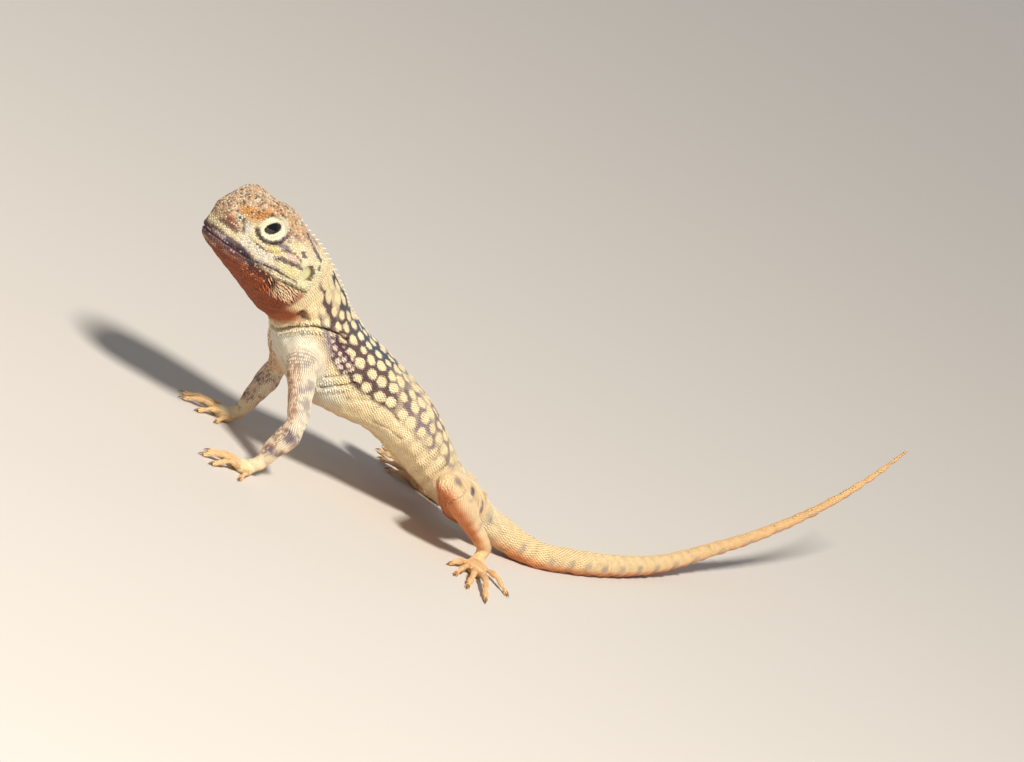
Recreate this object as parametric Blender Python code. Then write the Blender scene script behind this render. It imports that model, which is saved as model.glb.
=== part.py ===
"""Central netted dragon at life size, standing alert with its head high.

The lizard faces -X, its left side is towards -Y and the floor is Z = 0.
Every size below is in millimetres, and MM turns it into metres.
"""
import math

import bmesh
import bpy
import numpy as np

MM = 0.001
GAP = 0.3
FUSE_DEPTH = 0.6

# The head is laid out from the snout backwards, with its axis at the level of the mouth.
HEAD_LENGTH = 19.4
HEAD_PLACE = (-5.3, 13.9, 34.2)
HEAD_PITCH = math.radians(2.7)
HEAD_ROLL = math.radians(4.5)
# distance behind the snout, half width, height over the mouth, depth under it
HEAD_STATIONS = (
    (0.0, 1.0, 2.1, 0.7),
    (0.35, 2.1, 3.8, 1.1),
    (1.0, 3.1, 5.9, 1.5),
    (2.1, 4.1, 7.9, 2.1),
    (3.7, 5.1, 9.2, 2.8),
    (6.2, 6.1, 9.9, 3.9),
    (9.0, 6.9, 9.9, 5.0),
    (12.4, 7.9, 9.4, 6.5),
    (15.4, 8.4, 8.7, 7.6),
    (17.9, 8.2, 7.6, 8.4),
    (19.4, 7.8, 6.9, 8.9),
)
# place of the body's axis, half width, height over it, depth under it
BODY_STATIONS = (
    (0.8, 13.9, 30.6, 6.3, 6.4, 7.7),
    (6.0, 13.6, 25.9, 6.6, 7.0, 8.8),
    (12.0, 13.4, 22.3, 8.2, 7.4, 9.1),
    (18.0, 13.5, 20.4, 8.9, 7.3, 7.6),
    (24.0, 13.6, 18.9, 9.3, 6.5, 6.2),
    (30.0, 13.6, 16.7, 9.3, 6.3, 5.8),
    (36.0, 13.5, 13.8, 8.5, 5.3, 5.3),
    (43.0, 13.1, 10.1, 7.0, 4.0, 4.5),
    (49.5, 12.5, 7.2, 6.0, 3.4, 3.9),
    (56.0, 11.7, 5.0, 4.2, 2.9, 3.2),
    (62.0, 11.5, 3.5, 3.1, 2.8, 2.8),
)
# place of the tail's axis and its radius
TAIL_STATIONS = (
    (68.0, 12.2, 2.4, 2.55),
    (79.5, 16.8, 2.15, 2.3),
    (94.0, 25.0, 2.0, 2.05),
    (108.7, 34.7, 2.7, 1.7),
    (123.0, 44.6, 5.4, 1.38),
    (138.7, 54.5, 10.2, 1.1),
    (154.0, 64.3, 17.0, 0.85),
    (163.0, 70.2, 22.6, 0.65),
    (172.0, 76.6, 29.6, 0.32),
)
# where the long run of head, body and tail is parted, measured from the snout
NECK_START = 21.5
TORSO_START = 32.4
TAIL_START = 91.0
TAIL_MIDDLE_START = 127.0
TAIL_END_START = 171.0
# sections turn with the run over this far each way, so that the throat's rows stay apart
TURN_REACH = 7.0

EYE_RADIUS = 2.3
EYE_BACK = 8.9
EYE_HEIGHT = 6.1
EYE_OUT = 3.75
LID_REACH = (3.9, 3.15, 3.0)
LID_OPENING = (1.75, 1.0)
LID_DEPTHS = (1.2, 5.5)
EAR_BACK = 17.6
EAR_HEIGHT = 1.9
EAR_REACH = (1.25, 1.0, 1.6)
NOSTRIL_BACK = 3.0
NOSTRIL_HEIGHT = 5.1
NOSTRIL_RIM = (0.95, 0.45, 0.9)
NOSTRIL_HOLE = (0.42, 0.95, 0.38)
MOUTH_END = 16.9
# angle from the corner of the lips and how far the skin is pushed out there
LIPS = ((-7.0, 0.08), (-2.2, 0.14), (0.0, -0.4), (2.2, 0.18), (7.0, 0.1))
MOUTH_HALF_OPEN = 0.16
GULAR_BACK = 25.5
GULAR_WIDTH = 1.1
GULAR_DEPTH = 0.10
BROW_BACK = 8.2
BROW_LENGTH = 4.6
BROW_HEIGHT = 2.2
CREST_SPINES = 11
CREST_FROM = 15.6
CREST_TO = 35.0
CREST_HEIGHT = 0.85
CREST_MARGIN = 1.1
# rise, half length and half width of a spine's sections
SPINE_SECTIONS = ((-FUSE_DEPTH, 0.62, 0.36), (0.0, 0.55, 0.32), (1.0, 0.06, 0.05))
SPINE_LEAN = 0.45
# share of the way along a palm or sole and its girth there
PALM_SWELL = ((0.0, 0.45), (0.12, 0.8), (0.4, 1.0), (0.75, 1.0), (0.93, 0.8), (1.0, 0.5))
DIGIT_SHARES = (0.0, 0.2, 0.4, 0.6, 0.8, 0.97)
DIGIT_TAPER = 0.28
DIGIT_REST = 0.72
CLAW_GIRTH = 0.42
CLAW_TIP = 0.09

SKIN_COLOUR = (0.78, 0.62, 0.40)
TAIL_COLOUR = (0.80, 0.52, 0.27)
LIMB_COLOUR = (0.80, 0.63, 0.42)
EYE_COLOUR = (0.02, 0.015, 0.012)

objects = []


def clear_scene():
    """Remove whatever the scene holds."""
    for item in list(bpy.data.objects):
        bpy.data.objects.remove(item, do_unlink=True)


def unit(vector):
    """Return the vector at length one."""
    return vector / np.linalg.norm(vector)


def smooth_step(low, high, value):
    """Rise smoothly from 0 at low to 1 at high."""
    t = min(max((value - low) / (high - low), 0.0), 1.0)
    return t * t * (3.0 - 2.0 * t)


def bell(value, middle, width):
    """Return a smooth hump of height one."""
    return math.exp(-((value - middle) / width) ** 2)


def head_point(back, left, height):
    """Turn a place on the head into the model's frame."""
    forward = np.array((-math.cos(HEAD_PITCH), 0.0, math.sin(HEAD_PITCH)))
    side = np.array((0.0, -1.0, 0.0))
    up = np.cross(forward, side)
    tilted_side = side * math.cos(HEAD_ROLL) + up * math.sin(HEAD_ROLL)
    tilted_up = up * math.cos(HEAD_ROLL) - side * math.sin(HEAD_ROLL)
    reach = HEAD_LENGTH - back
    return np.array(HEAD_PLACE) + forward * reach + tilted_side * left + tilted_up * height


class Course:
    """A smooth run through stations, each one a place followed by its half sizes."""

    def __init__(self, rows):
        self.rows = np.array(rows, dtype=float)
        steps = np.linalg.norm(np.diff(self.rows[:, :3], axis=0), axis=1)
        self.along = np.concatenate(([0.0], np.cumsum(steps)))
        self.length = self.along[-1]
        self.slopes = np.gradient(self.rows, self.along, axis=0)

    def at(self, distance):
        """Return the blended row at a distance from the start."""
        distance = min(max(distance, 0.0), self.length)
        index = int(np.searchsorted(self.along, distance, side="right")) - 1
        index = min(max(index, 0), len(self.along) - 2)
        span = self.along[index + 1] - self.along[index]
        t = (distance - self.along[index]) / span
        row, following = self.rows[index], self.rows[index + 1]
        start, end = self.slopes[index] * span, self.slopes[index + 1] * span
        return ((2 * t ** 3 - 3 * t ** 2 + 1) * row + (t ** 3 - 2 * t ** 2 + t) * start
                + (3 * t ** 2 - 2 * t ** 3) * following + (t ** 3 - t ** 2) * end)

    def heading(self, distance, reach=0.05):
        """Return the direction of the run, taken between two places that far on either side."""
        return unit(self.at(distance + reach)[:3] - self.at(distance - reach)[:3])


def body_course():
    """Join head, body and tail into one run that starts at the snout."""
    rows = []
    for back, width, top, bottom in HEAD_STATIONS:
        rows.append((*head_point(back, 0.0, 0.0), width, top, bottom))
    rows.extend(BODY_STATIONS)
    for x, y, z, radius in TAIL_STATIONS:
        rows.append((x, y, z, radius, radius, radius))
    return Course(rows)


BODY = body_course()


def body_frame(distance):
    """Return the axis point, the animal's left and its up at a distance from the snout."""
    forward = -BODY.heading(distance, TURN_REACH)
    left = unit(np.cross((0.0, 0.0, 1.0), forward))
    up = np.cross(forward, left)
    roll = HEAD_ROLL * (1.0 - smooth_step(18.0, 34.0, distance))
    tilted_left = left * math.cos(roll) + up * math.sin(roll)
    tilted_up = up * math.cos(roll) - left * math.sin(roll)
    return BODY.at(distance)[:3], tilted_left, tilted_up


def section_point(distance, angle, grow=0.0):
    """Return the sideways and upward reach of the body's surface at an angle from its left."""
    width, top, bottom = BODY.at(distance)[3:]
    on_head = 1.0 - smooth_step(17.0, 24.0, distance)
    on_tail = smooth_step(80.0, 96.0, distance)
    across, rise = math.cos(angle), math.sin(angle)
    fullness = 2.25 + 0.3 * on_head * max(rise, 0.0) - 0.25 * on_tail
    reach = top if rise >= 0.0 else bottom
    side = width * math.copysign(abs(across) ** (2.0 / fullness), across)
    height = reach * math.copysign(abs(rise) ** (2.0 / fullness), rise)
    brow = bell(distance, BROW_BACK, BROW_LENGTH) ** 2 * bell(abs(across), 0.62, 0.24) * (rise > 0.0)
    side += math.copysign(0.3 * BROW_HEIGHT * brow, across)
    height += BROW_HEIGHT * brow
    gular = bell(distance, GULAR_BACK, GULAR_WIDTH) * smooth_step(0.1, 0.6, -rise)
    side *= 1.0 - GULAR_DEPTH * gular
    height *= 1.0 - GULAR_DEPTH * gular
    length = math.hypot(side, height)
    return side * (1.0 + grow / length), height * (1.0 + grow / length)


def body_ring(distance, angles, grow=0.0, shift=0.0):
    """Return one closed row of surface points."""
    place, left, up = body_frame(distance)
    place = place + BODY.heading(distance, TURN_REACH) * shift
    ring = []
    for angle in angles:
        side, height = section_point(distance, angle, grow)
        ring.append(place + left * side + up * height)
    return ring


def head_ring(distance, shift=0.0):
    """Return a row of the head with its lips and the line of the mouth."""
    lip = 1.0 - smooth_step(MOUTH_END - 1.8, MOUTH_END, distance)
    place, left, up = body_frame(distance)
    place = place + BODY.heading(distance, TURN_REACH) * shift
    ring = []
    for angle, push in head_angles():
        side, height = section_point(distance, angle)
        ring.append(place + left * side * (1.0 + push * lip / max(abs(side), 1.0)) + up * height)
    return ring


def head_angles():
    """List the angles round a head section, close together at the lips."""
    rows = []
    edge = LIPS[-1][0]
    steps = 15
    for centre in (0.0, 180.0):
        rows.extend((math.radians(centre + angle), push) for angle, push in LIPS)
        rows.extend((math.radians(centre + edge + (180.0 - 2.0 * edge) * step / steps), 0.0)
                    for step in range(1, steps))
    return rows


def even_angles(count):
    """List evenly spaced angles round a section."""
    return [2.0 * math.pi * step / count for step in range(count)]


def face_outwards(work):
    """Turn all faces of one closed body outwards."""
    bmesh.ops.recalc_face_normals(work, faces=work.faces[:])
    if work.calc_volume(signed=True) < 0.0:
        bmesh.ops.reverse_faces(work, faces=work.faces[:])


def mesh_from_rings(name, rings):
    """Skin rows of points into one closed body, with flat ends."""
    mesh = bpy.data.meshes.new(name)
    work = bmesh.new()
    rows = [[work.verts.new(point * MM) for point in ring] for ring in rings]
    count = len(rows[0])
    for row, following in zip(rows, rows[1:]):
        for step in range(count):
            after = (step + 1) % count
            work.faces.new((row[step], row[after], following[after], following[step]))
    work.faces.new(rows[0])
    work.faces.new(rows[-1])
    bmesh.ops.triangulate(work, faces=work.faces[:])
    face_outwards(work)
    work.to_mesh(mesh)
    work.free()
    return mesh


def add_object(name, mesh):
    """Put a mesh in the scene under its node's name."""
    item = bpy.data.objects.new(name, mesh)
    bpy.context.scene.collection.objects.link(item)
    return item


def bake(item):
    """Apply the object's modifiers to its mesh."""
    graph = bpy.context.evaluated_depsgraph_get()
    mesh = bpy.data.meshes.new_from_object(item.evaluated_get(graph))
    item.modifiers.clear()
    item.data = mesh


def combine(item, tools, operation):
    """Join closed tools to the object, or cut them out of it, in one Boolean."""
    group = bpy.data.collections.new("tools")
    bpy.context.scene.collection.children.link(group)
    for tool in tools:
        bpy.context.scene.collection.objects.unlink(tool)
        group.objects.link(tool)
    modifier = item.modifiers.new(operation.lower(), "BOOLEAN")
    modifier.operation = operation
    modifier.solver = "EXACT"
    modifier.operand_type = "COLLECTION"
    modifier.collection = group
    bake(item)
    for tool in tools:
        bpy.data.objects.remove(tool, do_unlink=True)
    bpy.data.collections.remove(group)
    keep_largest(item)


def keep_largest(item):
    """Keep only the object's largest closed surface."""
    work = bmesh.new()
    work.from_mesh(item.data)
    left = set(work.faces)
    shells = []
    while left:
        shell = set()
        front = [left.pop()]
        while front:
            face = front.pop()
            shell.add(face)
            for edge in face.edges:
                for other in edge.link_faces:
                    if other in left:
                        left.discard(other)
                        front.append(other)
        shells.append(shell)
    shells.sort(key=lambda shell: sum(face.calc_area() for face in shell))
    scraps = [face for shell in shells[:-1] for face in shell]
    bmesh.ops.delete(work, geom=scraps, context="FACES")
    loose = [vertex for vertex in work.verts if not vertex.link_faces]
    bmesh.ops.delete(work, geom=loose, context="VERTS")
    work.to_mesh(item.data)
    work.free()


def finish(item, colour, roughness):
    """Give the node its own material and shade it smooth."""
    material = bpy.data.materials.new(item.name + "_finish")
    material.use_nodes = True
    shader = material.node_tree.nodes["Principled BSDF"]
    shader.inputs["Base Color"].default_value = (*colour, 1.0)
    shader.inputs["Roughness"].default_value = roughness
    shader.inputs["Metallic"].default_value = 0.0
    item.data.materials.clear()
    item.data.materials.append(material)
    item.data.shade_smooth()
    item.data.set_sharp_from_angle(angle=math.radians(40.0))
    objects.append(item)


def ellipsoid(name, centre, reach, turn=None, segments=12, rings=8):
    """Make an ellipsoid whose reaches lie along the three directions of turn."""
    work = bmesh.new()
    bmesh.ops.create_uvsphere(work, u_segments=segments, v_segments=rings, radius=1.0)
    axes = np.identity(3) if turn is None else np.array(turn)
    for vertex in work.verts:
        local = np.array(vertex.co) * np.array(reach)
        vertex.co = (np.array(centre) + local @ axes) * MM
    face_outwards(work)
    mesh = bpy.data.meshes.new(name)
    work.to_mesh(mesh)
    work.free()
    return add_object(name, mesh)


def head_axes(side):
    """Return the head's forward, outward and upward directions on one side."""
    origin = head_point(0.0, 0.0, 0.0)
    forward = unit(head_point(-1.0, 0.0, 0.0) - origin)
    outward = unit(head_point(0.0, side, 0.0) - origin)
    up = unit(head_point(0.0, 0.0, 1.0) - origin)
    return forward, outward, up


def surface_out(back, height):
    """Return how far out the head's side lies at a height over the mouth."""
    low, high = 0.0, math.pi / 2.0
    for _ in range(40):
        middle = 0.5 * (low + high)
        if section_point(back, middle)[1] < height:
            low = middle
        else:
            high = middle
    return section_point(back, low)[0]


def lid_opening(side):
    """Make the almond between the lids, as a prism that runs outwards from the eye."""
    forward, outward, up = head_axes(side)
    centre = head_point(EYE_BACK, side * EYE_OUT, EYE_HEIGHT)
    long_half, tall_half = LID_OPENING
    rings = []
    for depth in LID_DEPTHS:
        ring = []
        for angle in even_angles(14):
            pinch = 1.0 - 0.35 * abs(math.cos(angle)) ** 3
            along = long_half * math.cos(angle)
            rise = tall_half * math.sin(angle) * pinch - 0.08 * along
            ring.append(centre + outward * depth + forward * along + up * rise)
        rings.append(ring)
    return add_object("lid_opening", mesh_from_rings("lid_opening", rings))


def crest_spine(distance, height):
    """Make one flat, backward pointing spine of the nape's crest."""
    place, left, up = body_frame(distance)
    back = BODY.heading(distance, TURN_REACH)
    top = place + up * section_point(distance, math.pi / 2.0)[1]
    rings = []
    for rise, half_length, half_width in SPINE_SECTIONS:
        lift = rise if rise < 0.0 else rise * height
        centre = top + up * lift + back * max(rise, 0.0) * SPINE_LEAN * height
        rings.append([centre + back * half_length * along + left * half_width * across
                      for along, across in ((1.0, 0.0), (0.0, 1.0), (-1.0, 0.0), (0.0, -1.0))])
    return add_object("spine", mesh_from_rings("spine", rings))


def crest(start, end):
    """Make the crest's spines whose roots lie wholly between two places on the nape."""
    spines = []
    for number in range(CREST_SPINES):
        share = number / (CREST_SPINES - 1)
        distance = CREST_FROM + (CREST_TO - CREST_FROM) * share
        height = CREST_HEIGHT * (0.6 + 0.4 * math.sin(math.pi * share))
        if start + CREST_MARGIN < distance < end - CREST_MARGIN:
            spines.append(crest_spine(distance, height))
    return spines


def stations_between(start, end, spacing):
    """List even distances from start to end."""
    steps = max(2, round((end - start) / spacing))
    return [start + (end - start) * step / steps for step in range(steps + 1)]


def body_length(name, start, end, spacing, sides, colour):
    """Make one length of the body or tail, its ends set back by half the gap."""
    distances = stations_between(start, end, spacing)
    angles = even_angles(sides)
    rings = [body_ring(distance, angles) for distance in distances]
    rings[0] = body_ring(start, angles, shift=GAP / 2.0)
    if end < BODY.length:
        rings[-1] = body_ring(end, angles, shift=-GAP / 2.0)
    item = add_object(name, mesh_from_rings(name, rings))
    spines = crest(start, end)
    if spines:
        combine(item, spines, "UNION")
    if item.data.vertices and min(vertex.co.z for vertex in item.data.vertices) < 0.0:
        combine(item, [floor_block()], "DIFFERENCE")
    finish(item, colour, 0.75)


def floor_block():
    """Make the block that takes off whatever lies under the floor."""
    work = bmesh.new()
    bmesh.ops.create_cube(work, size=1.0)
    for vertex in work.verts:
        vertex.co.x = (70.0 + 300.0 * vertex.co.x) * MM
        vertex.co.y = (30.0 + 240.0 * vertex.co.y) * MM
        vertex.co.z = (vertex.co.z - 0.5) * 20.0 * MM
    mesh = bpy.data.meshes.new("floor_block")
    work.to_mesh(mesh)
    work.free()
    return add_object("floor_block", mesh)


def head():
    """Make the head with brows, lids, nostrils, ear cups, lips and mouth."""
    tip = (0.0, 0.18, 0.4, 0.75, 1.2, 1.8, 2.5)
    distances = list(tip) + stations_between(3.3, NECK_START, 0.95)
    rings = [head_ring(distance) for distance in distances]
    rings[-1] = head_ring(NECK_START, shift=-GAP / 2.0)
    item = add_object("head", mesh_from_rings("head", rings))
    added = crest(0.0, NECK_START)
    cuts = []
    for side in (1.0, -1.0):
        forward, outward, up = head_axes(side)
        turn = (forward, outward, up)
        eye = head_point(EYE_BACK, side * EYE_OUT, EYE_HEIGHT)
        nose_out = surface_out(NOSTRIL_BACK, NOSTRIL_HEIGHT)
        nose = head_point(NOSTRIL_BACK, side * nose_out, NOSTRIL_HEIGHT)
        ear = head_point(EAR_BACK, side * surface_out(EAR_BACK, EAR_HEIGHT), EAR_HEIGHT)
        added.append(ellipsoid("lids", eye, LID_REACH, turn, segments=18, rings=11))
        added.append(ellipsoid("nostril_rim", nose, NOSTRIL_RIM, turn, segments=12, rings=7))
        hollow = EYE_RADIUS + GAP
        cuts.append(ellipsoid("socket", eye, (hollow, hollow, hollow), turn))
        cuts.append(lid_opening(side))
        cuts.append(ellipsoid("nostril", nose + outward * 0.35, NOSTRIL_HOLE, turn, segments=10, rings=6))
        cuts.append(ellipsoid("ear_cup", ear, EAR_REACH, turn, segments=12, rings=7))
    combine(item, added, "UNION")
    cuts.append(front_of_mouth())
    combine(item, cuts, "DIFFERENCE")
    finish(item, SKIN_COLOUR, 0.7)


def front_of_mouth():
    """Make the thin wedge that carries the mouth's line round the front of the snout."""
    rings = []
    for back, half_width in ((-1.5, 2.4), (0.55, 1.1)):
        rings.append([head_point(back, half_width * across, MOUTH_HALF_OPEN * rise)
                      for across, rise in ((1.0, 1.0), (-1.0, 1.0), (-1.0, -1.0), (1.0, -1.0))])
    return add_object("front_of_mouth", mesh_from_rings("front_of_mouth", rings))


def eyes():
    """Make both eyeballs, each free in its socket."""
    for name, side in (("eye_left", 1.0), ("eye_right", -1.0)):
        centre = head_point(EYE_BACK, side * EYE_OUT, EYE_HEIGHT)
        reach = (EYE_RADIUS, EYE_RADIUS, EYE_RADIUS)
        item = ellipsoid(name, centre, reach, head_axes(side), segments=16, rings=10)
        finish(item, EYE_COLOUR, 0.15)


def tube(name, rows, grow=0.0, sides=10, spacing=2.1):
    """Make a rounded limb length through rows of place and radius."""
    course = Course(rows)
    reference = np.array((0.23, 0.31, 0.92))
    rings = []
    ends = (-0.85, -0.5)
    spots = [(0.0, share) for share in ends]
    spots += [(distance, 0.0) for distance in stations_between(0.0, course.length, spacing)]
    spots += [(course.length, -share) for share in reversed(ends)]
    for distance, beyond in spots:
        row = course.at(distance)
        heading = course.heading(distance)
        across = unit(np.cross(heading, reference))
        upward = np.cross(across, heading)
        radius = row[3] + grow
        centre = row[:3] + heading * beyond * radius
        if beyond:
            radius *= math.sqrt(1.0 - beyond * beyond)
        rings.append([centre + across * radius * math.cos(angle) + upward * radius * math.sin(angle)
                      for angle in even_angles(sides)])
    return add_object(name, mesh_from_rings(name, rings))


def slab(name, start, end, start_size, end_size):
    """Make the flattened palm or sole between two places, each with a half width and half height."""
    heading = unit(np.array(end) - np.array(start))
    across = unit(np.cross(heading, (0.0, 0.0, 1.0)))
    upward = np.cross(across, heading)
    rings = []
    for share, swell in PALM_SWELL:
        centre = np.array(start) + (np.array(end) - np.array(start)) * share
        wide = (start_size[0] + (end_size[0] - start_size[0]) * share) * swell
        tall = (start_size[1] + (end_size[1] - start_size[1]) * share) * swell
        rings.append([centre + across * wide * math.cos(angle) + upward * tall * math.sin(angle)
                      for angle in even_angles(10)])
    return add_object(name, mesh_from_rings(name, rings))


def digit(root, heading, length, radius, arch, claw):
    """Make one arched digit with its claw, from a root inside the palm or sole to the floor."""
    direction = np.array((math.cos(heading), math.sin(heading), 0.0))
    across = np.array((-direction[1], direction[0], 0.0))
    upward = np.array((0.0, 0.0, 1.0))
    rings = []
    rest = radius * DIGIT_REST
    for share in DIGIT_SHARES:
        lift = root[2] * (1.0 - share) + rest * share + arch * math.sin(math.pi * share) ** 1.3
        centre = np.array((root[0], root[1], 0.0)) + direction * length * share + upward * lift
        girth = radius * (1.0 - DIGIT_TAPER * share)
        rings.append((centre, girth))
    nail = radius * CLAW_GIRTH
    tip = direction * length
    base = np.array((root[0], root[1], 0.0)) + tip
    rings.append((base + direction * 0.12 + upward * (rest + 0.08), nail * 1.15))
    rings.append((base + direction * 0.6 * claw + upward * (rest + 0.02), nail * 0.75))
    rings.append((base + direction * claw + upward * 0.14, CLAW_TIP))
    rows = [[centre + across * girth * math.cos(angle) + upward * girth * math.sin(angle)
             for angle in even_angles(6)] for centre, girth in rings]
    return add_object("digit", mesh_from_rings("digit", rows))


def extremity(name, stub_rows, palm, digits, parent_rows):
    """Fuse a hand or foot from its root, palm and digits, and clear it of the limb above."""
    item = tube(name, stub_rows, sides=8, spacing=1.6)
    parts = [slab("palm", *palm)]
    parts += [digit(*values) for values in digits]
    combine(item, parts, "UNION")
    combine(item, [tube("above", parent_rows, grow=GAP), floor_block()], "DIFFERENCE")
    finish(item, LIMB_COLOUR, 0.75)


def grown_body():
    """Make the body's whole run a gap larger, to cut the limbs' roots to its surface."""
    angles = even_angles(24)
    distances = stations_between(22.0, 120.0, 2.5)
    rings = [body_ring(distance, angles, grow=GAP) for distance in distances]
    return add_object("grown_body", mesh_from_rings("grown_body", rings))


def limb_length(name, rows, parent_rows=None):
    """Make one length of a limb, cut clear of the body and of the length above it."""
    item = tube(name, rows)
    tools = [grown_body()]
    if parent_rows is not None:
        tools.append(tube("above", parent_rows, grow=GAP))
    combine(item, tools, "DIFFERENCE")
    finish(item, LIMB_COLOUR, 0.75)


def fan(root, palm_heading, side, digits, spread, height):
    """Lay out digits fanned from the front of a palm or sole."""
    result = []
    for turn, offset, back, length, radius, arch, claw in digits:
        heading = palm_heading + side * math.radians(turn)
        across = np.array((-math.sin(palm_heading), math.cos(palm_heading), 0.0)) * side
        along = np.array((math.cos(palm_heading), math.sin(palm_heading), 0.0))
        place = np.array(root) + across * offset * spread - along * back
        result.append(((place[0], place[1], height), heading, length, radius, arch, claw))
    return result


# turn from the palm's heading, share of its spread, set back, length, radius, arch, claw
FINGERS = (
    (52.0, 1.0, 1.3, 4.4, 0.62, 0.45, 1.3),
    (25.0, 0.6, 0.5, 6.0, 0.64, 0.75, 1.4),
    (3.0, 0.05, 0.0, 7.6, 0.66, 1.0, 1.5),
    (-15.0, -0.5, 0.3, 7.6, 0.64, 0.9, 1.5),
    (-48.0, -1.0, 1.4, 5.2, 0.6, 0.55, 1.3),
)
TOES = (
    (34.0, 1.0, 1.6, 5.6, 0.66, 0.5, 1.4),
    (17.0, 0.55, 0.7, 8.2, 0.68, 0.8, 1.5),
    (3.0, 0.05, 0.1, 10.8, 0.7, 1.0, 1.6),
    (-10.0, -0.5, 0.0, 13.2, 0.7, 1.1, 1.7),
    (-40.0, -1.0, 4.2, 8.0, 0.64, 0.7, 1.4),
)


def fore_limb(side_name, side, shoulder, elbow, wrist, palm, heading):
    """Make upper arm, forearm and hand."""
    shoulder, elbow, wrist, palm = (np.array(place) for place in (shoulder, elbow, wrist, palm))
    inner = shoulder + np.array((2.0, -side * 3.5, 1.6))
    upper = ((*inner, 3.2), (*shoulder, 3.1), (*(shoulder * 0.45 + elbow * 0.55), 2.35), (*elbow, 1.85))
    swell = elbow * 0.68 + wrist * 0.32 + np.array((0.35, 0.2 * side, 0.0))
    fore = ((*elbow, 1.8), (*swell, 2.2), (*(elbow * 0.3 + wrist * 0.7), 1.75), (*wrist, 1.35))
    limb_length("upper_arm_" + side_name, upper)
    limb_length("forearm_" + side_name, fore, upper)
    direction = np.array((math.cos(heading), math.sin(heading), 0.0))
    front = palm + direction * 1.7 - np.array((0.0, 0.0, 0.15))
    stub = ((*wrist, 1.2), (*(wrist * 0.5 + palm * 0.5), 1.25), (*palm, 1.1))
    hand = (palm - direction * 2.3, front, (1.5, 1.1), (2.15, 0.95))
    digits = fan(front - direction * 1.0, heading, side, FINGERS, 1.45, 0.85)
    extremity("hand_" + side_name, stub, hand, digits, fore)


def hind_limb(side_name, side, hip, knee, ankle, heading):
    """Make thigh, shin and foot."""
    hip, knee, ankle = (np.array(place) for place in (hip, knee, ankle))
    inner = hip + np.array((1.5, -side * 1.2, 0.0))
    thigh = ((*inner, 3.6), (*hip, 3.8), (*(hip * 0.5 + knee * 0.5), 3.35), (*knee, 2.3))
    calf = knee * 0.66 + ankle * 0.34 + np.array((0.3, 0.3 * side, 0.0))
    shin = ((*knee, 2.1), (*calf, 2.4), (*(knee * 0.3 + ankle * 0.7), 1.7), (*ankle, 1.3))
    limb_length("thigh_" + side_name, thigh)
    limb_length("shin_" + side_name, shin, thigh)
    direction = np.array((math.cos(heading), math.sin(heading), 0.0))
    heel = np.array((ankle[0], ankle[1], 1.05))
    front = heel + direction * 7.2 - np.array((0.0, 0.0, 0.2))
    stub = ((*ankle, 1.2), (*(heel + direction * 1.1), 1.1))
    sole = (heel - direction * 1.3, front, (1.4, 1.05), (2.3, 0.95))
    digits = fan(front - direction * 1.2, heading, side, TOES, 1.7, 0.85)
    extremity("foot_" + side_name, stub, sole, digits, shin)


def centre_on_floor():
    """Move everything so that the origin is the middle of the box on the floor."""
    points = np.array([vertex.co for item in objects for vertex in item.data.vertices])
    low, high = points.min(axis=0), points.max(axis=0)
    shift = -(low + high) / 2.0
    for item in objects:
        for vertex in item.data.vertices:
            vertex.co.x += shift[0]
            vertex.co.y += shift[1]


clear_scene()
head()
eyes()
body_length("neck", NECK_START, TORSO_START, 1.2, 24, SKIN_COLOUR)
body_length("torso", TORSO_START, TAIL_START, 2.5, 24, SKIN_COLOUR)
body_length("tail_base", TAIL_START, TAIL_MIDDLE_START, 2.8, 14, TAIL_COLOUR)
body_length("tail_middle", TAIL_MIDDLE_START, TAIL_END_START, 3.6, 12, TAIL_COLOUR)
body_length("tail_end", TAIL_END_START, BODY.length, 4.0, 9, TAIL_COLOUR)
fore_limb("left", -1.0, (3.2, 8.2, 21.6), (4.8, 1.3, 12.2), (1.9, 0.6, 2.6), (-0.9, 0.3, 1.0),
          math.radians(183.0))
fore_limb("right", 1.0, (3.8, 18.8, 21.6), (9.6, 25.8, 13.4), (7.6, 25.4, 2.6), (5.0, 25.6, 1.0),
          math.radians(168.0))
hind_limb("left", -1.0, (48.5, 8.8, 7.6), (35.5, -3.9, 13.6), (51.6, 0.0, 3.8), math.radians(243.0))
hind_limb("right", 1.0, (48.5, 16.2, 7.6), (37.2, 28.2, 12.4), (53.5, 26.0, 3.7), math.radians(110.0))
centre_on_floor()
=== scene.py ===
import math
import bpy
import numpy as np
from mathutils import Matrix, Vector
from mathutils.bvhtree import BVHTree
from mathutils.kdtree import KDTree


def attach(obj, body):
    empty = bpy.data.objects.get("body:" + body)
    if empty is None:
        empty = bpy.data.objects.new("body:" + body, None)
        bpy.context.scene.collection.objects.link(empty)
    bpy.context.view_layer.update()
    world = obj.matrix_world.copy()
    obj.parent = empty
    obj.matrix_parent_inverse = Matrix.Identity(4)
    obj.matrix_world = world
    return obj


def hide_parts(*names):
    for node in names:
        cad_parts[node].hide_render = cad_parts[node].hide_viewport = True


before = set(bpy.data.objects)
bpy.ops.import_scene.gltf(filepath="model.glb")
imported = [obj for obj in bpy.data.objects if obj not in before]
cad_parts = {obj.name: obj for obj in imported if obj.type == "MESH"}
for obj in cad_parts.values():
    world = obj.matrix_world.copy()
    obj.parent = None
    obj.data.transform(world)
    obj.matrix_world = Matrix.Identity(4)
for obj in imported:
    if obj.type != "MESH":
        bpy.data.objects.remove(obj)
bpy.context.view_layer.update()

# The camera looks down on the animal's left side from in front, and is rolled so that the level
# floor rises to the left. Places are in millimetres from the near palm.
MM = 0.001
PALM_PLACE = np.array((-73.761, -28.436, 0.0))
VIEW_TURN = math.radians(-32.0)
VIEW_RISE = math.radians(14.0)
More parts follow.
